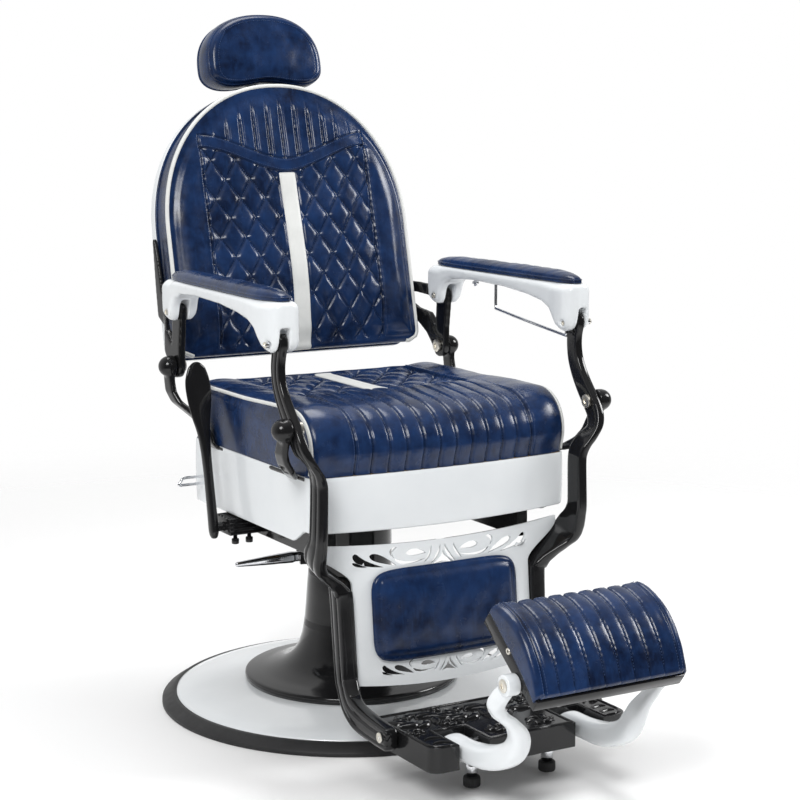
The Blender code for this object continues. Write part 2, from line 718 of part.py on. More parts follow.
def make_seat_cushion():
    channels = 11
    columns = 2 * channels
    pitch = 2 * SEAT_PANEL_HALF_WIDTH / channels
    inner_x = [-SEAT_PANEL_HALF_WIDTH + 2 * SEAT_PANEL_HALF_WIDTH * i / columns for i in range(columns + 1)]
    outer_x = (0.190, SEAT_EDGE, 0.229, SEAT_HALF_WIDTH - 0.001, SEAT_HALF_WIDTH)
    stations = [-x for x in reversed(outer_x)] + inner_x + list(outer_x)
    roll = SEAT_ROLL
    top_rows = 10
    lip_rows = 8
    rings = []
    for x in stations:
        side = ease((abs(x) - SEAT_EDGE) / (SEAT_HALF_WIDTH - SEAT_EDGE))
        front = seat_front(x) + 0.008 * side
        front_top = SEAT_TOP + 0.004 - 0.008 * side
        foot = SEAT_BASE + 0.026 * ease((abs(x) - 0.229) / (SEAT_HALF_WIDTH - 0.229))
        in_panel = abs(x) < SEAT_PANEL_HALF_WIDTH + 0.001
        ring = [
            Vector((x, SEAT_REAR - 0.004, foot)), Vector((x, SEAT_REAR, 0.500)),
            Vector((x, SEAT_REAR - 0.001, SEAT_TOP - 0.008)),
        ]
        for i in range(top_rows + 1):
            y = SEAT_REAR - 0.008 + (roll - SEAT_REAR + 0.008) * i / top_rows
            height = SEAT_TOP - 0.006 * side
            height += 0.004 * ease((-0.05 - y) / 0.15) * (1 - side)
            if in_panel and y > SEAT_QUILT_FRONT:
                height -= 0.001 + 0.005 * diamond_depth(x, y, 2 * pitch, DIAMOND_HEIGHT)
            ring.append(Vector((x, y, height)))
        for i in range(1, lip_rows + 1):
            angle = math.pi / 2 * min(i / 5, 1)
            depth = front - roll
            sink = 0.004 * channel_depth(x + SEAT_PANEL_HALF_WIDTH, pitch) if in_panel else 0.0
            y = roll + (depth + sink) * math.sin(angle)
            fall = SEAT_FALL * (1 - math.cos(angle)) + max(i - 5, 0) * (front_top - SEAT_FALL - foot) / 3
            y += 0.008 * ease((i - 5) / 3)
            ring.append(Vector((x, y, front_top - fall)))
        rings.append(ring)
    cushion = loft("seat_cushion", rings)
    finished(cushion, "seat", LEATHER, 60)


def make_lever():
    bracket = block("lever_bracket", (-0.2490, -0.038, 0.3205), (-0.1903, 0.012, FRAME_BOTTOM - GAP), 0.002)
    join(bracket, block("lever_bracket_tab", (-0.2000, -0.034, 0.3300), (-0.1903, 0.008, FRAME_TOP)))
    shaft_radius = 0.0075
    cut(bracket, rod_x("lever_bracket_hole", shaft_radius + 0.0006, -0.27, -0.210, LEVER_PIVOT))
    finished(bracket, "seat", BLACK)

    x = LEVER_X
    y, z = LEVER_PIVOT
    stations = [
        (x, y - 0.003, z - 0.016, 0.0050, 0.0060), (x, y - 0.002, z - 0.010, 0.0068, 0.0095),
        (x, y, z, 0.0072, 0.0105), (x, y + 0.005, z + 0.028, 0.0072, 0.0100),
        (x, y + 0.019, z + 0.098, 0.0072, 0.0092), (x, y + 0.031, z + 0.148, 0.0095, 0.0080),
        (x - 0.001, y + 0.040, z + 0.183, 0.0165, 0.0062),
        (x - 0.001, y + 0.046, z + 0.213, 0.0220, 0.0050), (x - 0.002, y + 0.050, z + 0.238, 0.0220, 0.0045),
        (x - 0.002, y + 0.053, z + 0.258, 0.0160, 0.0040),
        (x - 0.002, y + 0.0545, z + 0.268, 0.0070, 0.0030),
    ]
    lever = swept("recline_lever", stations, (1, 0, 0), 0.5)
    join(lever, rod_x("recline_lever_shaft", shaft_radius, x, -0.212, LEVER_PIVOT))
    finished(lever, "recline_lever", BLACK, 40)

    turn_in = 0.004
    high_x, high_z = HANDLE_HIGH
    low_x, low_z = HANDLE_LOW
    legs = [(HANDLE_INNER, high_z), (high_x + turn_in, high_z), (high_x, high_z - turn_in),
            (low_x, low_z + turn_in), (low_x + turn_in, low_z), (HANDLE_INNER, low_z)]
    route = [(across, HANDLE_Y, level) for across, level in legs]
    finished(wire("side_handle", route, HANDLE_WIRE), "side_handle", CHROME, 40)


# Back and headrest

def arch(inset=0.0, steps=24, corner=0.022):
    """Outline of the back in its own plane: straight sides under a full half ellipse."""
    half = BACK_HALF_WIDTH - inset
    rise = BACK_RISE - inset
    outline = []
    for i in range(steps + 1):
        a = math.pi * i / steps
        across = math.copysign(abs(math.cos(a)) ** ARCH_FULLNESS, math.cos(a))
        outline.append((half * across, BACK_SIDE + rise * math.sin(a) ** ARCH_FULLNESS))
    for angle in (180, 210, 240, 270):
        a = math.radians(angle)
        outline.append((-half + corner + corner * math.cos(a), inset + corner + corner * math.sin(a)))
    for angle in (270, 300, 330, 360):
        a = math.radians(angle)
        outline.append((half - corner + corner * math.cos(a), inset + corner + corner * math.sin(a)))
    return outline


def arch_edge_distance(x, s):
    """About how far a point of the back lies inside its outline."""
    side = BACK_HALF_WIDTH - abs(x)
    if s < BACK_SIDE:
        return min(side, s)
    reach = math.hypot(x / BACK_HALF_WIDTH, (s - BACK_SIDE) / BACK_RISE)
    return (1 - reach) * BACK_HALF_WIDTH


def back_relief(x, s):
    """Height of the back cushion's front over its plane: crown, channels, V band and quilting."""
    edge = arch_edge_distance(x, s)
    height = -0.008 + 0.010 * ease(edge / 0.03) + 0.014 * ease(edge / 0.16) * ease(1.2 - s / 0.35)
    if abs(x) > SEAT_PANEL_HALF_WIDTH + 0.001 or edge < 0.004:
        return height
    band = V_VERTEX + (V_CORNER - V_VERTEX) * abs(x) / SEAT_PANEL_HALF_WIDTH
    if s > band + V_BAND:
        return height - 0.004 * channel_depth(x, CHANNEL_PITCH)
    if s > band or abs(x) < STRIP_HALF_WIDTH * 0.9:
        return height
    return height - 0.006 * diamond_depth(x, s, DIAMOND_WIDTH, DIAMOND_HEIGHT)


def make_back():
    half_columns = [CHANNEL_PITCH / 2 * i for i in range(13)] + [0.188, 0.214, 0.260]
    across = [-x for x in reversed(half_columns[1:])] + half_columns
    quilted = [DIAMOND_HEIGHT / 4 * i for i in range(-1, 24)]
    up = quilted + [0.406, 0.434, 0.462, 0.500]

    def place(u, v):
        x = across[round((u + 1) / 2 * (len(across) - 1))]
        return x, up[round((v + 1) / 2 * (len(up) - 1))]

    def front(u, v):
        x, s = place(u, v)
        return Vector((x, s, back_relief(x, s)))

    def rear(u, v):
        return Vector((*place(u, v), -0.09))

    cushion = padded("back_cushion", len(across) - 1, len(up) - 1, front, rear)
    bm = bmesh.new()
    bm.from_mesh(cushion.data)
    split_along_seams(bm, lambda point: point.z)
    bm.to_mesh(cushion.data)
    bm.free()
    cushion.data.transform(BACK)
    levels = ((-BACK_DEPTH, 0.003), (-BACK_DEPTH * 0.5, 0.006), (-0.008, 0.0), (0.06, 0.0))
    drum = loft("back_outline", [[Vector((x, s, n)) for x, s in arch(inset)] for n, inset in levels], BACK)
    change(cushion, drum, "INTERSECT")
    finished(cushion, "back", LEATHER, 50)

    shell_middle = -BACK_DEPTH - GAP - SHELL_DEPTH / 2
    shell = plate("back_shell", [arch(-0.001)], SHELL_DEPTH, BACK @ Matrix.Translation((0, 0, shell_middle)))
    finished(shell, "back", ENAMEL, 40)

    shell_rear = -BACK_DEPTH - GAP - SHELL_DEPTH
    sleeve = block("headrest_sleeve", (-0.030, 0.330, shell_rear - 0.036),
                   (0.030, 0.450, shell_rear - GAP), 0.003, BACK)
    room = 0.0004
    cut(sleeve, block("headrest_sleeve_bore", (-POST_HALF_WIDTH - room, 0.30, POST_REAR - room),
                      (POST_HALF_WIDTH + room, 0.48, POST_FRONT + room), 0, BACK))
    finished(sleeve, "back", BLACK)


def make_headrest():
    post = block("headrest_post", (-POST_HALF_WIDTH, 0.290, POST_REAR),
                 (POST_HALF_WIDTH, 0.585, POST_FRONT), 0, BACK)
    join(post, block("headrest_plate", (-0.050, 0.505, POST_FRONT - 0.001),
                     (0.050, 0.585, HEADREST_REAR - GAP), 0, BACK))
    finished(post, "headrest", CHROME)

    def outline(u, v, inset=0.0):
        """Domed over its widest level, fuller below it, with a hollow along the bottom edge."""
        x = u * math.sqrt(1 - v * v / 2)
        s = v * math.sqrt(1 - u * u / 2)
        reach = math.hypot(x, s)
        if reach < 0.0001:
            return 0.0, HEADREST_WIDEST
        fullness = 2.3 if s > 0 else 3.4
        level = (HEADREST_TOP if s > 0 else 2 * HEADREST_WIDEST - HEADREST_BOTTOM) - HEADREST_WIDEST - inset
        grow = reach / (abs(x) ** fullness + abs(s) ** fullness) ** (1 / fullness)
        hollow = HEADREST_HOLLOW * max(-s, 0) ** 2 * max(1 - (x / 0.75) ** 2, 0) ** 2
        return (HEADREST_HALF_WIDTH - inset) * x * grow, HEADREST_WIDEST + level * s * grow + hollow

    def front(u, v):
        edge = 1 - max(abs(u), abs(v))
        x, s = outline(u, v, 0.006 * (1 - ease(edge / 0.12)))
        return Vector((x, s, HEADREST_FRONT + 0.010 * ease(edge / 0.15) + 0.006 * ease(edge)))

    def rear(u, v):
        return Vector((*outline(u, v, 0.003), HEADREST_REAR))

    cushion = padded("headrest_cushion", 14, 10, front, rear)
    bm = bmesh.new()
    bm.from_mesh(cushion.data)
    middle = (HEADREST_FRONT + HEADREST_REAR) / 2
    walls = [edge for edge in bm.edges if abs(edge.verts[0].co.z - edge.verts[1].co.z) > 0.04]
    waist = bmesh.ops.subdivide_edges(bm, edges=walls, cuts=1, use_grid_fill=False)["geom_inner"]
    for vert in (item for item in waist if isinstance(item, bmesh.types.BMVert)):
        vert.co.x *= 1.035
        vert.co.z = middle
    bm.to_mesh(cushion.data)
    bm.free()
    cushion.data.transform(BACK)
    finished(cushion, "headrest", LEATHER, 60)


def make_back_arm(side):
    """Y-shaped casting: a post from hub to clevis, two struts, and a strap up the back shell's edge."""
    sign = SIDES[side]
    hub_y, hub_z = REAR_PIVOT

    def on_back(s, n):
        point = BACK @ Vector((0, s, n))
        return point.y, point.z

    def arc(centre, radius, angles):
        turns = [math.radians(a) for a in angles]
        return [(centre[0] + radius * math.cos(a), centre[1] + radius * math.sin(a)) for a in turns]

    outline = [
        *arc(ARM_REAR, 0.0145, (30, 60, 90, 120, 150, 180)),
        (hub_y - 0.021, hub_z + 0.034),
        *arc(REAR_PIVOT, 0.021, (180, 210, 240, 270, 300)),
        (0.158, 0.588), (0.181, 0.611), (0.197, 0.625), (0.214, 0.640), on_back(0.080, -0.064),
        on_back(0.130, -0.061), on_back(0.180, -0.056), on_back(0.212, -0.053), on_back(0.216, -0.049),
        on_back(0.212, -0.045), on_back(0.180, -0.040), on_back(0.140, -0.037), on_back(0.118, -0.036),
        (0.195, 0.6970), (0.160, 0.6930), (0.140, 0.6890),
    ]
    opening = [(0.1400, 0.662), (0.151, 0.671), (0.195, 0.677), (0.213, 0.678), (0.213, 0.663),
               (0.195, 0.650), (0.167, 0.642), (0.1440, 0.620)]
    thickness = 0.013
    arm = plate(f"back_arm_{side}", [outline, opening], thickness, SIDE_VIEW)
    bend_from, bend_to = hub_y + 0.040, hub_y + 0.085
    bm = bmesh.new()
    bm.from_mesh(arm.data)
    for place in (bend_from, bend_to):
        geometry = bm.verts[:] + bm.edges[:] + bm.faces[:]
        bmesh.ops.bisect_plane(bm, geom=geometry, plane_co=(0, place, 0), plane_no=(0, 1, 0))
    strap_x, strap_half = 0.2449, 0.0038
    for vert in bm.verts:
        bend = min(max((vert.co.y - bend_from) / (bend_to - bend_from), 0), 1)
        half = thickness / 2 + (strap_half - thickness / 2) * bend
        middle = ARM_REAR_X + (strap_x - ARM_REAR_X) * bend
        vert.co.x = sign * (middle + math.copysign(half, vert.co.x))
    bmesh.ops.recalc_face_normals(bm, faces=bm.faces)
    bm.to_mesh(arm.data)
    bm.free()
    holes = {"hole": (PIVOT_BOLT_RADIUS, REAR_PIVOT), "eye": (ARM_PIN_RADIUS, ARM_REAR)}
    for name, (radius, place) in holes.items():
        cut(arm, rod_x(f"back_arm_{name}_{side}", radius + RUNNING_GAP, sign * 0.22, sign * 0.29, place))
    finished(arm, "back", BLACK)


# Armrests

def arm_centre(y):
    """The armrests splay a little towards the front, and their noses turn in."""
    share = (ARM_REAR[0] - y) / (ARM_REAR[0] - ARM_FRONT[0])
    return ARM_REAR_X + (ARM_FRONT_X - ARM_REAR_X) * share - 0.005 * ease((-0.225 - y) / 0.06)


# Stations of the arm casting as (y, underside, half width)
ARM_STATIONS = (
    (0.1395, 0.690, 0.0235), (0.1370, 0.672, 0.0250), (0.1280, 0.6655, 0.0258), (0.1170, 0.6640, 0.0260),
    (0.1080, 0.6655, 0.0260), (0.1025, 0.674, 0.0260), (0.0975, 0.691, 0.0258), (0.0890, 0.704, 0.0255),
    (0.0680, 0.7130, 0.0250), (0.0000, 0.7165, 0.0250), (-0.1000, 0.7135, 0.0262), (-0.1700, 0.7065, 0.0272),
    (-0.2120, 0.698, 0.0278), (-0.2350, 0.685, 0.0280), (-0.2480, 0.668, 0.0280), (-0.2570, 0.658, 0.0280),
    (-0.2680, 0.6548, 0.0276), (-0.2780, 0.6555, 0.0262), (-0.2860, 0.660, 0.0232), (-0.2920, 0.669, 0.0185),
    (-0.2950, 0.680, 0.0135), (-0.2970, 0.692, 0.0070),
)


def make_armrest(side):
    sign = SIDES[side]
    body = f"armrest_{side}"
    rings = []
    for y, low, half in ARM_STATIONS:
        end = min(ease((0.141 - y) / 0.012), ease((y + 0.2985) / 0.012))
        top = ARM_TOP - 0.003 * (1 - end)
        centre = Vector((sign * arm_centre(y), y, (top + low) / 2))
        rings.append(section(centre, Vector((sign, 0, 0)), Vector((0, 0, 1)), half, (top - low) / 2, 0.35))
    arm = loft(f"armrest_{side}", rings)
    slot = 0.0078
    slots = {
        "rear": (ARM_REAR_X, 0.088, 0.160, 0.7005),
        "front": (ARM_FRONT_X, -0.400, -0.240, 0.6945),
    }
    pins = {"rear": (ARM_REAR_X, ARM_REAR), "front": (ARM_FRONT_X, ARM_FRONT)}
    for end, (x, y_from, y_to, z_to) in slots.items():
        x_low, x_high = sorted((sign * (x - slot), sign * (x + slot)))
        cut(arm, block(f"arm_slot_{end}_{side}", (x_low, y_from, 0.60), (x_high, y_to, z_to)))
    for end, (x, place) in pins.items():
        inner, outer = sign * (x - 0.0262), sign * (x + 0.0262)
        hole = rod_x(f"arm_hole_{end}_{side}", ARM_PIN_RADIUS + RUNNING_GAP, sign * (x - 0.04),
                     sign * (x + 0.04), place)
        cut(arm, hole)
        pin = rod_x(f"arm_pin_{end}_{side}", ARM_PIN_RADIUS, inner, outer, place)
        finished(pin, body, CHROME, 40)
    finished(arm, body, ENAMEL, 40)

    pad_front, pad_rear = -0.287, 0.133
    pad_base = ARM_TOP + GAP

    def outline(u, v, inset):
        y = (pad_front + pad_rear) / 2 + v * ((pad_rear - pad_front) / 2 - inset)
        half = (0.0212 + 0.0030 * ease(0.5 - v / 2) - inset) * math.sqrt(1 - 0.93 * abs(v) ** 5)
        return sign * (arm_centre(y) + u * half), y

    def top(u, v):
        edge = (1 - u * u) * (1 - abs(v) ** 5)
        return Vector((*outline(u, v, 0.001), pad_base + 0.007 + 0.0115 * edge ** 0.6))

    def base(u, v):
        return Vector((*outline(u, v, 0.0), pad_base))

    finished(padded(f"armpad_{side}", 6, 16, top, base), body, LEATHER, 60)


def make_towel_bar():
    x = 0.259
    rear, front = -0.055, -0.2685
    route = [(x, rear, 0.7130), (x, rear, 0.678), (x, rear - 0.003, 0.6725), (x, rear - 0.009, 0.6695),
             (x, front + 0.008, 0.6475), (x, front + 0.002, 0.6478), (x, front, 0.6500), (x, front, 0.6542)]
    finished(wire("towel_bar", route, 0.0025), "armrest_left", CHROME, 40)


# Leg rest

# Stations of the front leg from its clevis to its foot: x, y, z, half width across, half depth
LEG_STATIONS = (
    (0.2735, -0.2765, 0.6840, 0.0060, 0.0080), (0.2735, -0.2768, 0.6790, 0.0065, 0.0125),
    (0.2735, -0.2765, 0.6690, 0.0065, 0.0150), (0.2738, -0.2720, 0.6500, 0.0065, 0.0145),
    (0.2745, -0.2705, 0.6300, 0.0065, 0.0143), (0.2747, -0.2745, 0.6080, 0.0066, 0.0145),
    (0.2745, -0.2850, 0.5870, 0.0067, 0.0150), (0.2742, -0.3010, 0.5650, 0.0068, 0.0158),
    (0.2740, -0.3190, 0.5440, 0.0068, 0.0165), (0.2735, -0.3330, 0.5250, 0.0068, 0.0165),
    (0.2690, -0.3400, 0.5080, 0.0070, 0.0165), (0.2580, -0.3405, 0.4940, 0.0073, 0.0165),
    (0.2460, -0.3370, 0.4790, 0.0077, 0.0170), (0.2400, -0.3340, 0.4640, 0.0080, 0.0175),
    (0.2385, -0.3330, 0.4450, 0.0080, 0.0178), (0.2398, -0.3330, 0.3820, 0.0082, 0.0185),
    (0.2398, -0.3300, 0.3650, 0.0084, 0.0200), (0.2394, -0.3240, 0.3505, 0.0088, 0.0235),
    (0.2370, -0.3160, 0.3370, 0.0095, 0.0265), (0.2300, -0.3095, 0.3230, 0.0110, 0.0260),
    (0.2150, -0.3050, 0.3090, 0.0130, 0.0220), (0.1990, -0.3010, 0.2960, 0.0142, 0.0185),
    (0.1865, -0.2970, 0.2830, 0.0138, 0.0180), (0.1800, -0.2945, 0.2650, 0.0133, 0.0180),
    (0.1790, -0.3060, 0.1500, 0.0133, 0.0180), (0.1815, -0.3180, 0.1260, 0.0130, 0.0180),
    (0.1860, -0.3380, 0.1060, 0.0120, 0.0190), (0.1885, -0.3650, 0.0945, 0.0110, 0.0205),
    (0.1890, -0.4050, 0.0890, 0.0108, 0.0195), (0.1890, -0.4520, 0.0860, 0.0108, 0.0180),
    (0.1890, -0.4630, 0.0858, 0.0106, 0.0165), (0.1890, -0.4675, 0.0858, 0.0095, 0.0120),
)


def make_leg(side):
    sign = SIDES[side]
    leg = swept(f"front_leg_{side}", LEG_STATIONS, (1, 0, 0), 0.35, sign)
    holes = {
        "pivot": (FRONT_PIVOT, PIVOT_BOLT_RADIUS + RUNNING_GAP, 0.25, 0.30),
        "eye": (ARM_FRONT, ARM_PIN_RADIUS + LINK_PLAY, 0.24, 0.30),
        "foot": (FOOT_BOLT, 0.005 + RUNNING_GAP, 0.15, 0.22),
    }
    for name, (place, radius, x_from, x_to) in holes.items():
        cut(leg, rod_x(f"leg_{name}_{side}", radius, sign * x_from, sign * x_to, place))
    finished(leg, "leg_rest", BLACK, 40)

    foot_bolt = bolt("foot_bolt", side, FOOT_BOLT, 0.162, 0.2001, 0.2024, 0.005, 0.0075)
    finished(foot_bolt, "leg_rest", CHROME, 40)


def panel_half_width(z):
    """The panel fills the space between the legs: wide under the seat, drawn in to the lower legs."""
    low, high = 0.1645, 0.2260
    return low + (high - low) * ease((z - 0.284) / 0.062)


def panel_y(x, z):
    """Front of the panel: bowed forward in the middle and leaning forward at the foot."""
    bow = PANEL_BOW * (1 - (x / 0.2275) ** 2)
    return PANEL_EDGE_Y - bow - PANEL_LEAN * (PANEL_EDGE_Z - z)


def teardrop(centre, length, width, angle, bend=0.0):
    """A curved drop: round at its head, pointed at its tail."""
    points = []
    steps = 8
    for i in range(steps):
        t = 2 * math.pi * i / steps
        along = -math.cos(t) * length / 2
        half = width / 2 * math.sin(t) * math.sin(t / 2) ** 0.8 if i else 0.0
        curl = bend * (along / length) ** 2 * 4
        a = math.radians(angle)
        points.append((centre[0] + along * math.cos(a) - (half + curl) * math.sin(a),
                       centre[1] + along * math.sin(a) + (half + curl) * math.cos(a)))
    return points


# Scroll cut-outs of one half of the panel: centre x, centre z, length, width, angle, bend
TOP_SCROLLS = (
    (0.1485, 0.3215, 0.040, 0.0115, 35, -0.003), (0.1140, 0.3160, 0.044, 0.0125, 24, -0.003),
    (0.1600, 0.3135, 0.024, 0.0055, 22, -0.001), (0.0920, 0.3345, 0.018, 0.0085, 70, 0.002),
    (0.0570, 0.3240, 0.040, 0.0125, -4, 0.003), (0.0220, 0.3215, 0.030, 0.0075, -64, 0.003),
)
LOW_SCROLLS = (
    (0.136, 0.141, 0.028, 0.008, 200, 0.003), (0.100, 0.143, 0.030, 0.008, 160, 0.003),
    (0.064, 0.140, 0.030, 0.009, 190, 0.003), (0.026, 0.141, 0.024, 0.008, 110, 0.002),
)


def make_panel():
    columns, rows = 10, 7
    bm = bmesh.new()
    bmesh.ops.create_grid(bm, x_segments=columns, y_segments=rows, size=1)
    for vert in bm.verts:
        sag = 1 - vert.co.x ** 2
        low, high = PANEL_BOTTOM - PANEL_BOTTOM_SAG * sag, PANEL_TOP - PANEL_TOP_SAG * sag
        z = low + (vert.co.y + 1) / 2 * (high - low)
        x = vert.co.x * panel_half_width(z)
        vert.co = Vector((x, panel_y(x, z), z))
    panel = add_mesh("leg_panel", bm)
    sheet = panel.modifiers.new("Sheet", "SOLIDIFY")
    sheet.thickness = PANEL_THICKNESS
    sheet.offset = -1 if panel.data.polygons[0].normal.y < 0 else 1
    for row, scrolls in {"top": TOP_SCROLLS, "low": LOW_SCROLLS}.items():
        for i, (x, z, length, width, angle, bend) in enumerate(scrolls):
            for side, sign in SIDES.items():
                drop = [(sign * across, up) for across, up in teardrop((x, z), length, width, angle, bend)]
                upright = Matrix.Translation((0, -0.31, 0)) @ Matrix.Rotation(math.pi / 2, 4, "X")
                cut(panel, plate(f"scroll_{row}_{i}_{side}", [drop], 0.09, upright))
    finished(panel, "leg_rest", ENAMEL)

    def outline(u, v, inset):
        round_off = 0.16
        x = (CALF_HALF_WIDTH - inset) * u * math.sqrt(1 - round_off * v ** 8)
        half = (CALF_TOP - CALF_BOTTOM) / 2 - inset
        return x, (CALF_TOP + CALF_BOTTOM) / 2 + half * v * math.sqrt(1 - round_off * u ** 8)

    def front(u, v):
        edge = 1 - max(abs(u), abs(v))
        x, z = outline(u, v, 0.004 * (1 - ease(edge / 0.1)))
        thickness = 0.007 + 0.006 * ease(edge / 0.12) + 0.006 * ease(edge)
        return Vector((x, panel_y(x, z) - thickness, z))

    def rear(u, v):
        x, z = outline(u, v, 0.001)
        return Vector((x, panel_y(x, z) - 0.0008, z))

    finished(calf_body(front, rear), "leg_rest", LEATHER, 60)


def calf_body(front, rear):
    """The calf pad follows the bowed panel, so its back is a grid like its front."""
    columns, rows = 14, 8
    bm = bmesh.new()
    faces = []
    for shape in (front, rear):
        grid = bmesh.ops.create_grid(bm, x_segments=columns, y_segments=rows, size=1)["verts"]
        for vert in grid:
            vert.co = shape(vert.co.x, vert.co.y)
        faces.append(grid)
    rims = [edge for edge in bm.edges if edge.is_boundary]
    bmesh.ops.bridge_loops(bm, edges=rims)
    return add_mesh("calf_pad", bm)


def make_platform():
    corner = 0.018
    half, front, rear = PLATFORM_HALF_WIDTH, PLATFORM_FRONT, PLATFORM_REAR
    right_half = [
        (SLOT_INNER, front), (SLOT_INNER, SLOT_REAR), (SLOT_OUTER, SLOT_REAR), (SLOT_OUTER, front),
        (half - corner, front), (half - 0.5 * corner, front + 0.13 * corner),
        (half - 0.13 * corner, front + 0.5 * corner), (half, front + corner), (half, rear),
    ]
    left_half = [(-x, y) for x, y in reversed(right_half)]
    middle = (PLATFORM_BOTTOM + PLATFORM_TOP) / 2
    platform = plate("foot_platform", [right_half + left_half], PLATFORM_TOP - PLATFORM_BOTTOM,
                     Matrix.Translation((0, 0, middle)))
    shaft_radius = 0.006
    shaft_half = 0.145
    bore_half = shaft_half + GAP
    cut(platform, rod_x("pad_shaft_bore", shaft_radius + GAP, -bore_half, bore_half, PAD_ARM_PIVOT))
    hole = 0.005 + RUNNING_GAP
    for side, sign in SIDES.items():
        cut(platform, rod_x(f"foot_bolt_hole_{side}", hole, sign * 0.1612, sign * 0.20, FOOT_BOLT))
    finished(platform, "leg_rest", BLACK)
    shaft = rod_x("pad_arm_shaft", shaft_radius, -shaft_half, shaft_half, PAD_ARM_PIVOT)
    finished(shaft, "leg_rest", STEEL, 40)

    for side, sign in SIDES.items():
        place = Matrix.Translation((sign * PEG_X, PEG_Y, 0))
        tip_top = PEG_BOTTOM + PEG_TIP_LENGTH
        peg_top, peg_low = PLATFORM_BOTTOM - GAP, tip_top + GAP
        peg = turned(f"peg_{side}", [
            (0, peg_top), (0.009, peg_top), (0.009, peg_low), (0, peg_low),
        ], 12, matrix=place)
        finished(peg, "leg_rest", CHROME, 40)
        tip = turned(f"peg_tip_{side}", [
            (0, tip_top), (0.0115, tip_top), (0.0132, tip_top - 0.003),
            (0.0132, PEG_BOTTOM + 0.002), (0.0115, PEG_BOTTOM), (0, PEG_BOTTOM),
        ], 12, matrix=place)
        finished(tip, "leg_rest", RUBBER, 40)


# Stations of a pad arm from its tail in the platform to its barrel: x, y, z, half width across, half depth
PAD_ARM_STATIONS = (
    (0.1065, -0.4985, 0.0800, 0.0165, 0.0070), (0.1065, -0.5030, 0.0800, 0.0170, 0.0125),
    (0.1065, -0.5150, 0.0800, 0.0170, 0.0160), (0.1065, -0.5550, 0.0805, 0.0170, 0.0165),
    (0.1045, -0.5980, 0.0850, 0.0175, 0.0180), (0.1025, -0.6350, 0.0960, 0.0172, 0.0185),
    (0.1015, -0.6640, 0.1125, 0.0166, 0.0178), (0.1022, -0.6790, 0.1340, 0.0154, 0.0160),
    (0.1090, -0.6830, 0.1525, 0.0144, 0.0142), (0.1230, -0.6840, 0.1665, 0.0136, 0.0132),
    (0.1370, -0.6830, 0.1785, 0.0130, 0.0130), (0.1465, -0.6860, 0.1930, 0.0120, 0.0132),
    (0.1465, -0.6920, 0.2060, 0.0108, 0.0136), (0.1412, -0.7000, 0.2185, 0.0080, 0.0134),
    (0.1392, -0.7075, 0.2280, 0.0074, 0.0120),
)


def foot_edge(v):
    """Height of the foot cushion's end over the tray, v from -1 at its lower edge to 1 at its upper."""
    crown = math.cos(v * math.pi / 2 * 0.96) ** 0.75
    return TRAY_DEPTH + 0.005 + 0.016 * (v + 1) / 2 + FOOT_CROWN * crown


def make_cheek(name, sign, inner, outer, room):
    """An arched end plate of the tray, or with some room round it the cutter for the cushion."""
    half = TRAY_HALF_LENGTH - 0.0025 + room
    top = [(half * v, foot_edge(v) - CHEEK_DROP + room) for v in (1 - i / 8 for i in range(17))]
    outline = [(-half, 0.004), (half, 0.004), *top]
    place = Matrix.Translation((sign * (inner + outer) / 2, 0, 0))
    return plate(name, [outline], outer - inner, TRAY @ place @ SIDE_VIEW)


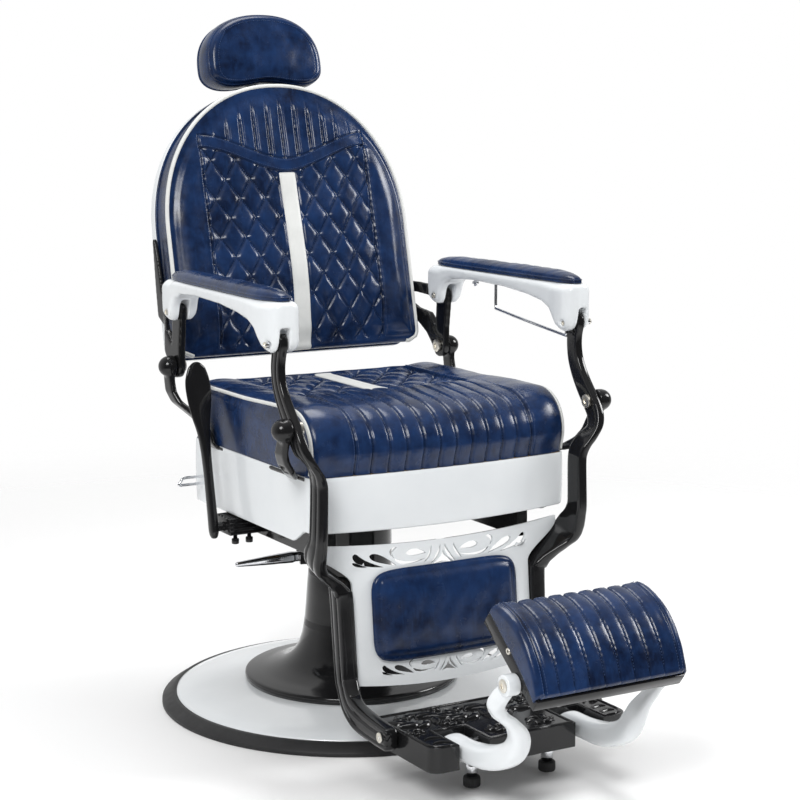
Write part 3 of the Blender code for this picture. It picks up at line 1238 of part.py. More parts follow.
def make_foot_pad():
    bolt_radius = 0.004
    ear_inner, ear_outer = 0.1235, TRAY_HALF_WIDTH
    cheek_outer = TRAY_HALF_WIDTH - 0.0003
    cheek_inner = cheek_outer - CHEEK_THICKNESS
    tray = block("foot_tray", (-TRAY_HALF_WIDTH, -TRAY_HALF_LENGTH, 0),
                 (TRAY_HALF_WIDTH, TRAY_HALF_LENGTH, TRAY_DEPTH), 0.002, TRAY)
    for side, sign in SIDES.items():
        arm = swept(f"pad_arm_{side}", PAD_ARM_STATIONS, (1, 0, 0), 0.5, sign)
        inner, outer = sign * DRUM_INNER, sign * DRUM_OUTER
        join(arm, rod_x(f"pad_drum_{side}", DRUM_RADIUS, inner, outer, TRAY_PIVOT, 18))
        cut(arm, rod_x(f"pad_spot_face_{side}", SCREW_RADIUS + 0.0012, outer, sign * 0.17, TRAY_PIVOT, 18))
        holes = {"bore": (0.006, PAD_ARM_PIVOT), "drum": (bolt_radius, TRAY_PIVOT)}
        for name, (radius, place) in holes.items():
            cut(arm, rod_x(f"pad_arm_{name}_{side}", radius + RUNNING_GAP, sign * 0.07, sign * 0.17, place))
        finished(arm, "pad_arms", ENAMEL, 50)

        join(tray, make_cheek(f"tray_cheek_{side}", sign, cheek_inner, cheek_outer, 0))
        join(tray, rod_x(f"tray_ear_{side}", 0.0145, sign * ear_inner, sign * ear_outer, TRAY_PIVOT, 14))
        hole = bolt_radius + RUNNING_GAP
        cut(tray, rod_x(f"tray_hole_{side}", hole, sign * 0.116, sign * 0.14, TRAY_PIVOT))

        head = DRUM_OUTER + GAP
        pivot = bolt("tray_bolt", side, TRAY_PIVOT, 0.1172, head, head + 0.0018, bolt_radius, SCREW_RADIUS)
        finished(pivot, "foot_pad", CHROME, 40)
    finished(tray, "foot_pad", BLACK)

    half_width, half_length = TRAY_HALF_WIDTH - 0.0005, TRAY_HALF_LENGTH - 0.003
    pitch = 2 * half_width / FOOT_CHANNELS

    def top(u, v):
        x = u * (half_width - 0.001)
        sink = 0.0035 * channel_depth(x + half_width, pitch) * math.cos(v * math.pi / 2)
        end = ease((1 - abs(u)) / 0.12)
        height = foot_edge(v) - sink - 0.003 * (1 - end)
        return Vector((x, v * half_length * (1 - 0.01 * abs(u)), height))

    def base(u, v):
        return Vector((u * half_width, v * half_length, TRAY_DEPTH + GAP))

    cushion = padded("foot_cushion", 2 * FOOT_CHANNELS, 10, top, base, TRAY)
    for side, sign in SIDES.items():
        room = make_cheek(f"cheek_room_{side}", sign, cheek_inner - GAP, half_width + 0.01, GAP)
        cut(cushion, room)
    finished(cushion, "foot_pad", LEATHER, 60)


make_base()
make_pump()
make_seat_structure()
make_brackets()
make_seat_cushion()
make_lever()
make_back()
make_headrest()
for chair_side in SIDES:
    make_back_arm(chair_side)
    make_armrest(chair_side)
    make_leg(chair_side)
make_towel_bar()
make_panel()
make_platform()
make_foot_pad()
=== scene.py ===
import json
import math

import bmesh
import bpy
import numpy as np
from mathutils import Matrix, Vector

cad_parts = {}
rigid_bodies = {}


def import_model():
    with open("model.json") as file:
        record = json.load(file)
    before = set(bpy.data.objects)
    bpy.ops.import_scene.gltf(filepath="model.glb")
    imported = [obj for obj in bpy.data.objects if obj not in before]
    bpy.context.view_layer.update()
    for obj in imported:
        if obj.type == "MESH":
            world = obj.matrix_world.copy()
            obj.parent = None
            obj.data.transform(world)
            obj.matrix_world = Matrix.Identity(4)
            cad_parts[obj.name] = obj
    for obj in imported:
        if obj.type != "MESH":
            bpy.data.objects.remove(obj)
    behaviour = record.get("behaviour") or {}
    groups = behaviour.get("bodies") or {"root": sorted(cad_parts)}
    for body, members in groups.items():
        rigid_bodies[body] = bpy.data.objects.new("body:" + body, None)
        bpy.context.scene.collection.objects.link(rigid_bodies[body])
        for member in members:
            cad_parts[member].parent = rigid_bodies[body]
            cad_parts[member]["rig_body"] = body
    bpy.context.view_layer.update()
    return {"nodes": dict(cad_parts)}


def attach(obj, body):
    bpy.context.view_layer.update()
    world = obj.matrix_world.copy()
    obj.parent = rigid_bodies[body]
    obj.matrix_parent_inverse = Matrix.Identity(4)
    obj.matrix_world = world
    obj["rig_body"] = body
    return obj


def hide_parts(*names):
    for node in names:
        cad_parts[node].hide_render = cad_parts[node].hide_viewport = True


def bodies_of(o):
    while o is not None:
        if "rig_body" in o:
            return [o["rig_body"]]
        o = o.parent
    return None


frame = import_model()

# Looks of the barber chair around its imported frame.
# Metres; the chair faces -Y and +X is the sitter's left.

SIDES = {"left": 1, "right": -1}

# Camera at the photograph's viewing angle, for a square image
CAMERA_PLACE = (-1.6131, -2.9286, 1.0584)
CAMERA_TARGET = (0.09805, 0.0, 0.51482)
CAMERA_LENS = 88.96

# Sizes of the chair, most of them as in the part's source
BASE_RADIUS, RUBBER_WIDTH, BASE_FOOT, DOME_RISE = 0.330, 0.025, 0.0083, 0.0305
COVER_TOP, FLANGE_RADIUS = 0.228, 0.186
SEAT_HALF_WIDTH, PANEL_HALF_WIDTH = 0.235, 0.163
SEAT_REAR, SEAT_FRONT, SEAT_BOW, SEAT_ROLL, SEAT_FALL = 0.120, -0.325, 0.42, -0.238, 0.066
SEAT_BASE, SEAT_TOP, QUILT_FRONT = 0.460, 0.557, -0.137
SEAT_CHANNELS, SEAT_DIAMOND_HEIGHT = 11, 0.075
BACK_TILT = math.radians(12.9)
BACK_FOOT = (0.0, 0.165, 0.592)
BACK_HALF_WIDTH, BACK_SIDE, BACK_RISE, BACK_CORNER = 0.238, 0.222, 0.255, 0.022
ARCH_FULLNESS, SHELL_REAR, SLEEVE_REAR = 0.95, -0.0753, -0.1113
CHANNEL_PITCH, DIAMOND_WIDTH, DIAMOND_HEIGHT, DIAMOND_SHIFT = 0.0272, 0.0480, 0.069, 0.0035
V_CORNER, V_VERTEX, V_BAND = 0.365, 0.318, 0.024
HEADREST_HALF_WIDTH, HEADREST_WIDEST, HEADREST_TOP = 0.1135, 0.522, 0.612
HEADREST_BOTTOM, HEADREST_HOLLOW, HEADREST_FRONT = 0.477, 0.012, -0.030
ARM_REAR, ARM_FRONT = (0.117, 0.679), (-0.277, 0.669)
ARM_REAR_X, ARM_FRONT_X, ARM_TOP = 0.262, 0.2735, 0.7335
ARM_PAD_FRONT, ARM_PAD_REAR = -0.287, 0.133
FRONT_PIVOT, REAR_PIVOT, LEVER_PIVOT = (-0.321, 0.544), (0.1315, 0.585), (-0.015, 0.333)
BOX_HALF_WIDTH, BOX_BOTTOM, BOX_FRONT_BOTTOM, BOX_CORNER_RISE = 0.2365, 0.352, 0.3685, 0.005
BOX_FRONT, BOX_REAR, BOX_BOW, BOX_CORNER, BOX_WALL = -0.318, 0.128, 0.25, 0.012, 0.004
PANEL_TOP, PANEL_BOTTOM, PANEL_THICKNESS = 0.352, 0.126, 0.005
PANEL_TOP_SAG, PANEL_BOTTOM_SAG, PANEL_EDGE_Z = 0.0115, 0.012, 0.357
CALF_HALF_WIDTH, CALF_BOTTOM, CALF_TOP = 0.134, 0.158, 0.303
PLATFORM_HALF_WIDTH, PLATFORM_FRONT, PLATFORM_REAR, PLATFORM_TOP = 0.177, -0.565, -0.390, 0.098
SLOT_INNER, SLOT_OUTER, SLOT_REAR = 0.078, 0.130, -0.495
TRAY_MIDDLE, TRAY_PITCH = (0.0, -0.687, 0.249), math.radians(37.65)
TRAY_HALF_WIDTH, TRAY_HALF_LENGTH, TRAY_DEPTH = 0.1285, 0.080, 0.020
TRAY_PIVOT, FOOT_BOLT = (-0.708, 0.229), (-0.452, 0.088)
FOOT_CHANNELS, FOOT_BORDER, FOOT_EDGE = 9, 0.0110, 0.0088
PEG_X, PEG_Y, PEG_BOTTOM, PEG_TIP = 0.069, -0.502, 0.004, 0.0165

# Upholstery: rounded edges, seams and the thread beside them
PAD_EDGE, SEAT_EDGE, SEAT_TURN, SEAT_CROWN = 0.008, 0.011, 0.010, 0.004
SEAM_WIDTH, SEAM_CLEAR, PAD_PLEAT_PITCH = 0.0014, 0.003, 0.031
STITCH_STEP, STITCH_LENGTH, STITCH_WIDTH = 0.0042, 0.0030, 0.00045
STITCH_BESIDE, STITCH_LIFT, SIDE_STITCH_LIFT = 0.0042, 0.0004, 0.0003

# Edges that turn by more than these angles stay sharp
SHARP_EDGE, SHARP_RIM = math.radians(38), math.radians(40)
ACROSS = np.array((1.0, 0.0, 0.0))


# Materials

def shader(name, roughness, colour=(0.5, 0.5, 0.5), metallic=0.0, coat=0.0, coat_roughness=0.05,
           specular=0.5):
    """A Principled material; returns it with its node tree and shader node."""
    material = bpy.data.materials.new(name)
    material.use_nodes = True
    surface = material.node_tree.nodes["Principled BSDF"]
    surface.inputs["Base Color"].default_value = (*colour, 1)
    surface.inputs["Roughness"].default_value = roughness
    surface.inputs["Metallic"].default_value = metallic
    surface.inputs["Coat Weight"].default_value = coat
    surface.inputs["Coat Roughness"].default_value = coat_roughness
    surface.inputs["Specular IOR Level"].default_value = specular
    return material, material.node_tree, surface


def add_node(tree, kind, inputs=None, **settings):
    """A node with its settings and the values or links of its inputs."""
    node = tree.nodes.new(kind)
    for key, value in settings.items():
        setattr(node, key, value)
    for key, value in (inputs or {}).items():
        if isinstance(value, bpy.types.NodeSocket):
            tree.links.new(value, node.inputs[key])
        else:
            node.inputs[key].default_value = value
    return node


def object_place(tree):
    """Object coordinates, in metres."""
    return add_node(tree, "ShaderNodeTexCoord").outputs["Object"]


def noise(tree, scale, detail=3.0, roughness=0.55, distortion=0.0):
    """Value of a noise in object coordinates, with scale in waves per metre."""
    node = add_node(tree, "ShaderNodeTexNoise", {
        "Vector": object_place(tree), "Scale": scale, "Detail": detail, "Roughness": roughness,
        "Distortion": distortion,
    })
    return node.outputs["Fac"]


def streaks(tree, across, along):
    """Noise drawn out along Z, with its waves per metre across and along the streaks."""
    inputs = {0: object_place(tree), 1: (across, across, along)}
    drawn = add_node(tree, "ShaderNodeVectorMath", inputs, operation="MULTIPLY")
    inputs = {"Vector": drawn.outputs["Vector"], "Scale": 1.0, "Detail": 4.0, "Roughness": 0.6}
    return add_node(tree, "ShaderNodeTexNoise", inputs).outputs["Fac"]


def cells(tree, scale):
    """Distance in a cell pattern, for the pebbles of leather grain."""
    inputs = {"Vector": object_place(tree), "Scale": scale}
    return add_node(tree, "ShaderNodeTexVoronoi", inputs).outputs["Distance"]


def spread(tree, value, low, high, start=0.0, end=1.0):
    """Maps a value from start..end to low..high."""
    node = add_node(tree, "ShaderNodeMapRange", {
        "Value": value, "From Min": start, "From Max": end, "To Min": low, "To Max": high,
    })
    return node.outputs["Result"]


def mix_colour(tree, share, first, second, blend="MIX"):
    """Mix of two colours; each is a colour or a link."""
    node = add_node(tree, "ShaderNodeMix", data_type="RGBA", blend_type=blend)
    sockets = [node.inputs[0], node.inputs[6], node.inputs[7]]
    for socket, value in zip(sockets, (share, first, second)):
        if isinstance(value, bpy.types.NodeSocket):
            tree.links.new(value, socket)
        else:
            socket.default_value = value if isinstance(value, float) else (*value, 1)
    return node.outputs[2]


def bumps(tree, surface, layers):
    """Chained bump nodes: each layer is a height, a strength and a depth in metres."""
    normal = None
    for height, strength, depth in layers:
        inputs = {"Height": height, "Strength": strength, "Distance": depth}
        if normal:
            inputs["Normal"] = normal
        normal = add_node(tree, "ShaderNodeBump", inputs).outputs["Normal"]
    tree.links.new(normal, surface.inputs["Normal"])


def leather(name, deep, light, worn, roughness):
    """Glossy blotched leather with pebbled grain, painted shade along its seams and pale where
    stretched.
    """
    material, tree, surface = shader(name, 0.3, specular=0.40)
    cloud = spread(tree, noise(tree, 11.0, 5.0, 0.62, 0.6), 0.0, 1.0, 0.36, 0.66)
    mottle = spread(tree, noise(tree, 48.0, 4.0, 0.6), 0.0, 1.0, 0.35, 0.70)
    colour = mix_colour(tree, cloud, deep, light)
    colour = mix_colour(tree, spread(tree, mottle, 0.0, 0.35), colour, worn)
    creases = spread(tree, streaks(tree, 170.0, 20.0), 0.0, 0.32, 0.52, 0.78)
    colour = mix_colour(tree, creases, colour, worn)
    # Painted shade: the seam attribute darkens the colour towards a quarter of the deep tone in the seam
    # grooves
    seam = add_node(tree, "ShaderNodeAttribute", attribute_name="seam").outputs["Fac"]
    shade = [0.25 * channel for channel in deep]
    colour = mix_colour(tree, spread(tree, seam, 0.0, 0.6), colour, shade)
    tree.links.new(colour, surface.inputs["Base Color"])
    gloss = spread(tree, noise(tree, 30.0, 4.0), roughness - 0.06, roughness + 0.10, 0.3, 0.7)
    tree.links.new(gloss, surface.inputs["Roughness"])
    bumps(tree, surface, [
        (noise(tree, 34.0, 3.0, 0.5), 0.14, 0.0016),
        (noise(tree, 230.0, 3.0, 0.6), 0.08, 0.0005),
        (cells(tree, 950.0), 0.10, 0.00028),
    ])
    return material


def enamel(name, colour, shade, roughness, coat, ripple, specular=0.5):
    """Sprayed paint: faint colour drift, orange peel and a few duller patches."""
    material, tree, surface = shader(
        name, roughness, coat=coat, coat_roughness=0.04, specular=specular)
    drift = spread(tree, noise(tree, 7.0, 4.0), 0.0, 1.0, 0.3, 0.7)
    tree.links.new(mix_colour(tree, drift, colour, shade), surface.inputs["Base Color"])
    dull = spread(tree, noise(tree, 22.0, 5.0, 0.65), roughness - 0.04, roughness + 0.10, 0.35, 0.75)
    tree.links.new(dull, surface.inputs["Roughness"])
    bumps(tree, surface, [
        (noise(tree, 190.0, 2.0), ripple, 0.0004), (noise(tree, 26.0, 2.0), ripple, 0.0012),
    ])
    return material


def metal(name, colour, shade, roughness, streak):
    """Plated or bare metal with faint streaks and handling marks."""
    material, tree, surface = shader(name, roughness, metallic=1.0)
    drift = spread(tree, noise(tree, 40.0, 5.0), 0.0, 1.0, 0.3, 0.7)
    tree.links.new(mix_colour(tree, drift, colour, shade), surface.inputs["Base Color"])
    marks = spread(tree, noise(tree, 120.0, 5.0, 0.7), roughness, roughness + streak, 0.45, 0.8)
    tree.links.new(marks, surface.inputs["Roughness"])
    bumps(tree, surface, [(noise(tree, 420.0, 3.0), 0.05, 0.0002)])
    return material


def rubber(name, colour, shade):
    """Moulded rubber with a fine matt texture and dusty patches."""
    material, tree, surface = shader(name, 0.5, specular=0.4)
    drift = spread(tree, noise(tree, 14.0, 5.0, 0.65), 0.0, 1.0, 0.35, 0.75)
    tree.links.new(mix_colour(tree, drift, colour, shade), surface.inputs["Base Color"])
    tree.links.new(spread(tree, noise(tree, 60.0), 0.42, 0.62), surface.inputs["Roughness"])
    bumps(tree, surface, [
        (noise(tree, 1100.0, 2.0), 0.25, 0.0002), (noise(tree, 60.0, 2.0), 0.15, 0.0006),
    ])
    return material


def wood(name, colour, shade):
    """Plywood with long grain."""
    material, tree, surface = shader(name, 0.65)
    inputs = {"Vector": object_place(tree), "Scale": (90.0, 4.0, 90.0)}
    stretch = add_node(tree, "ShaderNodeMapping", inputs).outputs["Vector"]
    inputs = {"Vector": stretch, "Scale": 1.0, "Detail": 5.0}
    grain = add_node(tree, "ShaderNodeTexNoise", inputs).outputs["Fac"]
    tree.links.new(mix_colour(tree, grain, colour, shade), surface.inputs["Base Color"])
    bumps(tree, surface, [(grain, 0.3, 0.0006)])
    return material


def thread(name, colour, shade):
    """Twisted sewing thread."""
    material, tree, surface = shader(name, 0.45, specular=0.4)
    twist = noise(tree, 900.0, 2.0)
    tree.links.new(mix_colour(tree, twist, colour, shade), surface.inputs["Base Color"])
    bumps(tree, surface, [(twist, 0.4, 0.0003)])
    return material


# Looks: a material and the name of its slot
NAVY = leather(
    "Navy leather", (0.0030, 0.0080, 0.029), (0.0090, 0.0270, 0.090), (0.0165, 0.052, 0.160), 0.21,
), "leather"
WHITE_LEATHER = leather(
    "White leather", (0.66, 0.67, 0.65), (0.74, 0.75, 0.73), (0.79, 0.79, 0.77), 0.42,
), "leather"
NAVY_THREAD = thread("Navy thread", (0.045, 0.090, 0.220), (0.018, 0.042, 0.120)), "leather"
WHITE = enamel("White enamel", (0.83, 0.855, 0.87), (0.77, 0.80, 0.82), 0.15, 0.3, 0.03), "enamel"
SHELL = WHITE[0], "shell"
BLACK = enamel(
    "Black enamel", (0.0070, 0.0071, 0.0076), (0.0120, 0.0120, 0.0130), 0.11, 0.0, 0.05, 0.40,
), "black"
CHROME = metal("Chrome", (0.80, 0.81, 0.83), (0.70, 0.71, 0.74), 0.06, 0.10), "chrome"
ZINC = metal("Zinc", (0.82, 0.79, 0.72), (0.70, 0.66, 0.58), 0.30, 0.15), "chrome"
STEEL = metal("Plain steel", (0.45, 0.46, 0.48), (0.33, 0.34, 0.36), 0.32, 0.20), "steel"
RUBBER = rubber("Black rubber", (0.012, 0.012, 0.013), (0.026, 0.026, 0.027)), "rubber"
PLYWOOD = wood("Plywood", (0.50, 0.34, 0.18), (0.36, 0.22, 0.11)), "plywood"


# Making pieces

def ease(value):
    """Smooth step from 0 to 1."""
    value = np.clip(value, 0.0, 1.0)
    return value * value * (3 - 2 * value)


def ridge(distance, width):
    """A soft line: 1 at distance 0, gone after about twice the width."""
    return np.exp(-(distance / width) ** 2)


def unit(vectors):
    return vectors / np.maximum(np.linalg.norm(vectors, axis=-1, keepdims=True), 1e-9)


class Plane:
    """A flat frame: x across, s up the surface, n out of it."""

    def __init__(self, origin, pitch):
        self.origin = np.array(origin)
        self.up = np.array((0.0, math.cos(pitch), math.sin(pitch)))
        self.out = np.array((0.0, -math.sin(pitch), math.cos(pitch)))

    def at(self, x, s, n):
        x, s, n = np.broadcast_arrays(x, s, n)
        return self.origin + x[..., None] * ACROSS + s[..., None] * self.up + n[..., None] * self.out


BACK = Plane(BACK_FOOT, math.pi / 2 - BACK_TILT)
TRAY = Plane(TRAY_MIDDLE, TRAY_PITCH)


def add_piece(name, data, body, look, replaces=()):
    """Puts a mesh or curve in the scene on its body, with its look and what it stands for."""
    finish, slot = look
    obj = bpy.data.objects.new(name, data)
    bpy.context.scene.collection.objects.link(obj)
    data.materials.append(finish)
    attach(obj, body)
    if replaces:
        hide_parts(*replaces)
    return obj


def shade_smooth(mesh):
    mesh.polygons.foreach_set("use_smooth", [True] * len(mesh.polygons))


def mesh_of(name, points, faces, seam=None):
    """A mesh with outward faces, and the seam attribute (the mask of painted shade in the seam grooves)
    where it is given.
    """
    mesh = bpy.data.meshes.new(name)
    mesh.from_pydata(np.asarray(points).reshape(-1, 3).tolist(), [], faces)
    bm = bmesh.new()
    bm.from_mesh(mesh)
    bmesh.ops.recalc_face_normals(bm, faces=bm.faces)
    bm.to_mesh(mesh)
    bm.free()
    shade_smooth(mesh)
    if seam is not None:
        values = np.zeros(len(mesh.vertices))
        values[:seam.size] = np.clip(seam, 0, 1).ravel()
        mesh.attributes.new("seam", "FLOAT", "POINT").data.foreach_set("value", values)
    return mesh


def grid_faces(rows, columns):
    """Quads of a grid of points in rows."""
    index = np.arange(rows * columns).reshape(rows, columns)
    quads = np.stack((index[:-1, :-1], index[:-1, 1:], index[1:, 1:], index[1:, :-1]), -1)
    return quads.reshape(-1, 4).tolist()


def ring_faces(first, second):
    """Quads between two closed loops of point numbers."""
    count = len(first)
    return [
        (first[(i + 1) % count], first[i], second[i], second[(i + 1) % count]) for i in range(count)
    ]


def loft_faces(loops, count, start=0, closed=False):
    """Quads along a row of loops of points, with capped ends unless the row is closed."""
    numbers = (start + np.arange(loops * count)).reshape(-1, count).tolist()
    ahead = numbers[1:] + numbers[:1] if closed else numbers[1:]
    faces = [face for first, second in zip(numbers, ahead) for face in ring_faces(first, second)]
    return faces if closed else faces + [numbers[0], numbers[-1]]


def rim_of(rows, columns):
    """Numbers of a grid's edge points, anticlockwise."""
    index = np.arange(rows * columns).reshape(rows, columns)
    sides = (index[0, :], index[1:, -1], index[-1, -2::-1], index[-2:0:-1, 0])
    return np.concatenate(sides).tolist()


def outward(loop):
    """Unit vectors that point out of a flat anticlockwise loop."""
    along = np.roll(loop, -1, 0) - np.roll(loop, 1, 0)
    return unit(np.stack((along[:, 1], -along[:, 0]), 1))


def rim_rings(x, s, at, sign=1):
    """A maker of rings round a grid's rim from an offset and a depth, and the outward vectors."""
    rim = rim_of(*x.shape)
    loop = np.stack((x.ravel()[rim], s.ravel()[rim]), 1)
    out = outward(loop) * sign

    def ring(offset, depth):
        return at(*(loop + out * offset).T, depth)

    return ring, out


def add_rings(points, faces, last, rings):
    """Joins rings of new points one by one to a loop of point numbers; returns the last loop."""
    for ring in rings:
        start = sum(map(len, points))
        numbers = list(range(start, start + len(ring)))
        faces += ring_faces(last, numbers)
        points.append(ring)
        last = numbers
    return last


def capped_pad(name, front, rings, seam=None):
    """A pad from its front grid, the rings that lead round to its back, and a face over the back."""
    rows, columns = front.shape[:2]
    points, faces = [front.reshape(-1, 3)], grid_faces(rows, columns)
    last = add_rings(points, faces, rim_of(rows, columns), rings)
    faces.append(last[::-1])
    return mesh_of(name, np.concatenate(points), faces, seam)


def rolled_pad(name, surface, seam, end_bulge):
    """A pad from a grid that runs up one side, over the top and down the other, with puffed ends."""
    rows, columns = surface.shape[:2]
    points, faces = [surface.reshape(-1, 3)], grid_faces(rows, columns)
    index = np.arange(rows * columns).reshape(rows, columns)
    for column, sign in ((0, -1), (columns - 1, 1)):
        loop = surface[:, column]
        centre = loop.mean(0)
        rings = [
            centre + (loop - centre) * scale + ACROSS * sign * end_bulge * (1 - scale * scale)
            for scale in (0.985, 0.95, 0.88, 0.74, 0.5, 0.25)
        ]
        faces.append(add_rings(points, faces, index[:, column].tolist(), rings))
    faces.append(index[0, :].tolist() + index[-1, ::-1].tolist())
    return mesh_of(name, np.concatenate(points), faces, seam)


def tube(name, points, radius, body, look, closed=False, replaces=()):
    """A round welt, wire or rod along points."""
    curve = bpy.data.curves.new(name, "CURVE")
    curve.dimensions = "3D"
    curve.bevel_depth = radius
    curve.bevel_resolution = 3
    curve.use_fill_caps = True
    spline = curve.splines.new("POLY")
    spline.points.add(len(points) - 1)
    for point, place in zip(spline.points, points):
        point.co = (*place, 1)
    spline.use_cyclic_u = closed
    spline.use_smooth = True
    return add_piece(name, curve, body, look, replaces)


def path_reach(points):
    """Length of a path up to each of its points."""
    return np.concatenate(([0], np.cumsum(np.linalg.norm(np.diff(points, axis=0), axis=1))))


def path_marks(points, step):
    """Lengths of even steps along a path, and its length up to each of its points."""
    reach = path_reach(points)
    count = max(int(reach[-1] / step), 1)
    return (np.arange(count) + 0.5) * reach[-1] / count, reach


def read_off(marks, reach, values):
    """Values given at a path's points, read off at lengths along it."""
    return np.stack([np.interp(marks, reach, column) for column in values.T], -1)


def spaced(points, step):
    """Points at even steps along a path."""
    return read_off(*path_marks(points, step), points)


def section_at(s, step, path, reach):
    """Place on a section's path at length s along it, and the way that it runs there."""
    place, ahead, behind = (read_off(at, reach, path) for at in (s, s + step, s - step))
    along = ahead - behind
    return place[..., 0], place[..., 1], along[..., 0], along[..., 1]


def stitches(name, rows, body):
    """Sewn thread: each row is a path and its surface normals; every stitch is a bead of thread."""
    sides, look = 5, 0.001
    angles = np.arange(sides) * 2 * math.pi / sides
    spans = (
        (-0.5, 0.35, -0.6), (-0.28, 0.9, 0.1), (0.0, 1.0, 0.35), (0.28, 0.9, 0.1), (0.5, 0.35, -0.6),
    )
    size_of_one = sides * len(spans)
    points, faces = [], []
    for path, normals in rows:
        if len(path) < 2:
            continue
        marks, reach = path_marks(path, STITCH_STEP)
        centres = read_off(marks, reach, path)
        out = unit(read_off(marks, reach, normals))
        ahead = read_off(np.minimum(marks + look, reach[-1]), reach, path)
        behind = read_off(np.maximum(marks - look, 0), reach, path)
        along = unit(ahead - behind)
        side = np.cross(out, along)
        for centre, t, n, b in zip(centres, along, out, side):
            count = len(points)
            for shift, size, lift in spans:
                ring = centre + t * shift * STITCH_LENGTH + n * lift * STITCH_WIDTH
                points.extend(
                    ring + size * STITCH_WIDTH * (math.cos(a) * b + math.sin(a) * n) for a in angles)
            for low in range(count, count + size_of_one - sides, sides):
                for i in range(sides):
                    following = (i + 1) % sides
                    faces.append((low + i, low + following, low + sides + following, low + sides + i))
            faces.append(tuple(range(count + sides - 1, count - 1, -1)))
            faces.append(tuple(range(count + size_of_one - sides, count + size_of_one)))
    return add_piece(name, mesh_of(name, np.array(points), faces), body, NAVY_THREAD)


def runs(inside):
    """Slices of the stretches where a mask holds."""
    edges = np.flatnonzero(np.diff(np.concatenate(([0], inside.astype(int), [0]))))
    return [slice(start, end) for start, end in zip(edges[::2], edges[1::2]) if end - start > 2]


def side_seam_rows(surface, line):
    """Rows of stitches on both sides of a cushion's two side seams."""
    return [
        surface(side * (PANEL_HALF_WIDTH + beside), line, SIDE_STITCH_LIFT)
        for side in (-1, 1) for beside in (-STITCH_BESIDE, STITCH_BESIDE)
    ]


def quilt_rows(surface, line, start, width, height, strip, top):
    """Rows of stitches along a quilted panel's diagonals, beside its strip and below top."""
    rows = []
    for slope in (-1, 1):
        for k in range(-9, 10):
            place = (k + slope * (line - start) / height) * width
            inside = (np.abs(place) < PANEL_HALF_WIDTH - SEAM_CLEAR) & (np.abs(place) > strip)
            inside &= line < top(place)
            rows += [surface(place[part], line[part], STITCH_LIFT) for part in runs(inside)]
    return rows


def ribbon(name, path, normals, half_width, thickness, body, look):
    """A flat strip with rounded edges along a path in the chair's middle plane."""
    outline = (
        (-1, -1), (-1, 0.2), (-0.9, 0.8), (-0.6, 1), (0, 1.1), (0.6, 1), (0.9, 0.8), (1, 0.2), (1, -1),
    )
    rings = [
        [place + ACROSS * half_width * u + normal * thickness * v for u, v in outline]
        for place, normal in zip(path, normals)
    ]
    mesh = mesh_of(name, np.array(rings), loft_faces(len(rings), len(outline)))
    return add_piece(name, mesh, body, look)


def wander(points, size, wave):
    """Slow uneven swell of a surface, the same at every run."""
    x, y, z = (points * (2 * math.pi / wave)).transpose((-1, *range(points.ndim - 1)))
    total = np.sin(1.0 * x + 0.7 * y + 0.3) + np.sin(0.6 * y - 1.1 * z + 1.9)
    total += 0.6 * np.sin(1.9 * x - 1.3 * z + 4.1) + 0.5 * np.sin(2.3 * y + 1.7 * x + 2.2)
    return size * total / 3.1


def quilt(across, along, width, height, power=4.5, thread=0.045):
    """How deep a quilted surface lies (0 on a puff, 1 on a seam) and its narrow seam lines."""
    a = across / width + along / height
    b = across / width - along / height
    near_a = np.abs(2 * (a - np.floor(a)) - 1)
    near_b = np.abs(2 * (b - np.floor(b)) - 1)
    depth = 1 - (1 - near_a ** power) * (1 - near_b ** power)
    return depth, ridge(1 - np.maximum(near_a, near_b), thread)


def channels(across, pitch, pull, power):
    """The same for channels, whose seams lie between two lips that the thread pulls up."""
    beside = np.abs(across / pitch - np.round(across / pitch)) * pitch
    lips = ridge(beside - 0.0048, 0.0022)
    deep = (1 - 2 * beside / pitch) ** power + 0.9 * ridge(beside, 0.0020) - pull * lips
    return deep, ridge(beside, 0.0011)


# Back cushion

def back_edge(x, s):
    """About how far a point of the back lies inside its outline."""
    side = BACK_HALF_WIDTH - np.abs(x)
    reach = np.hypot(x / BACK_HALF_WIDTH, (s - BACK_SIDE) / BACK_RISE)
    return np.where(s < BACK_SIDE, np.minimum(side, s), (1 - reach) * BACK_HALF_WIDTH)


def v_line(x):
    """Lower edge of the V band."""
    share = np.abs(x) / PANEL_HALF_WIDTH
    return V_VERTEX + (V_CORNER - V_VERTEX) * (0.75 * ease(share) + 0.25 * share)


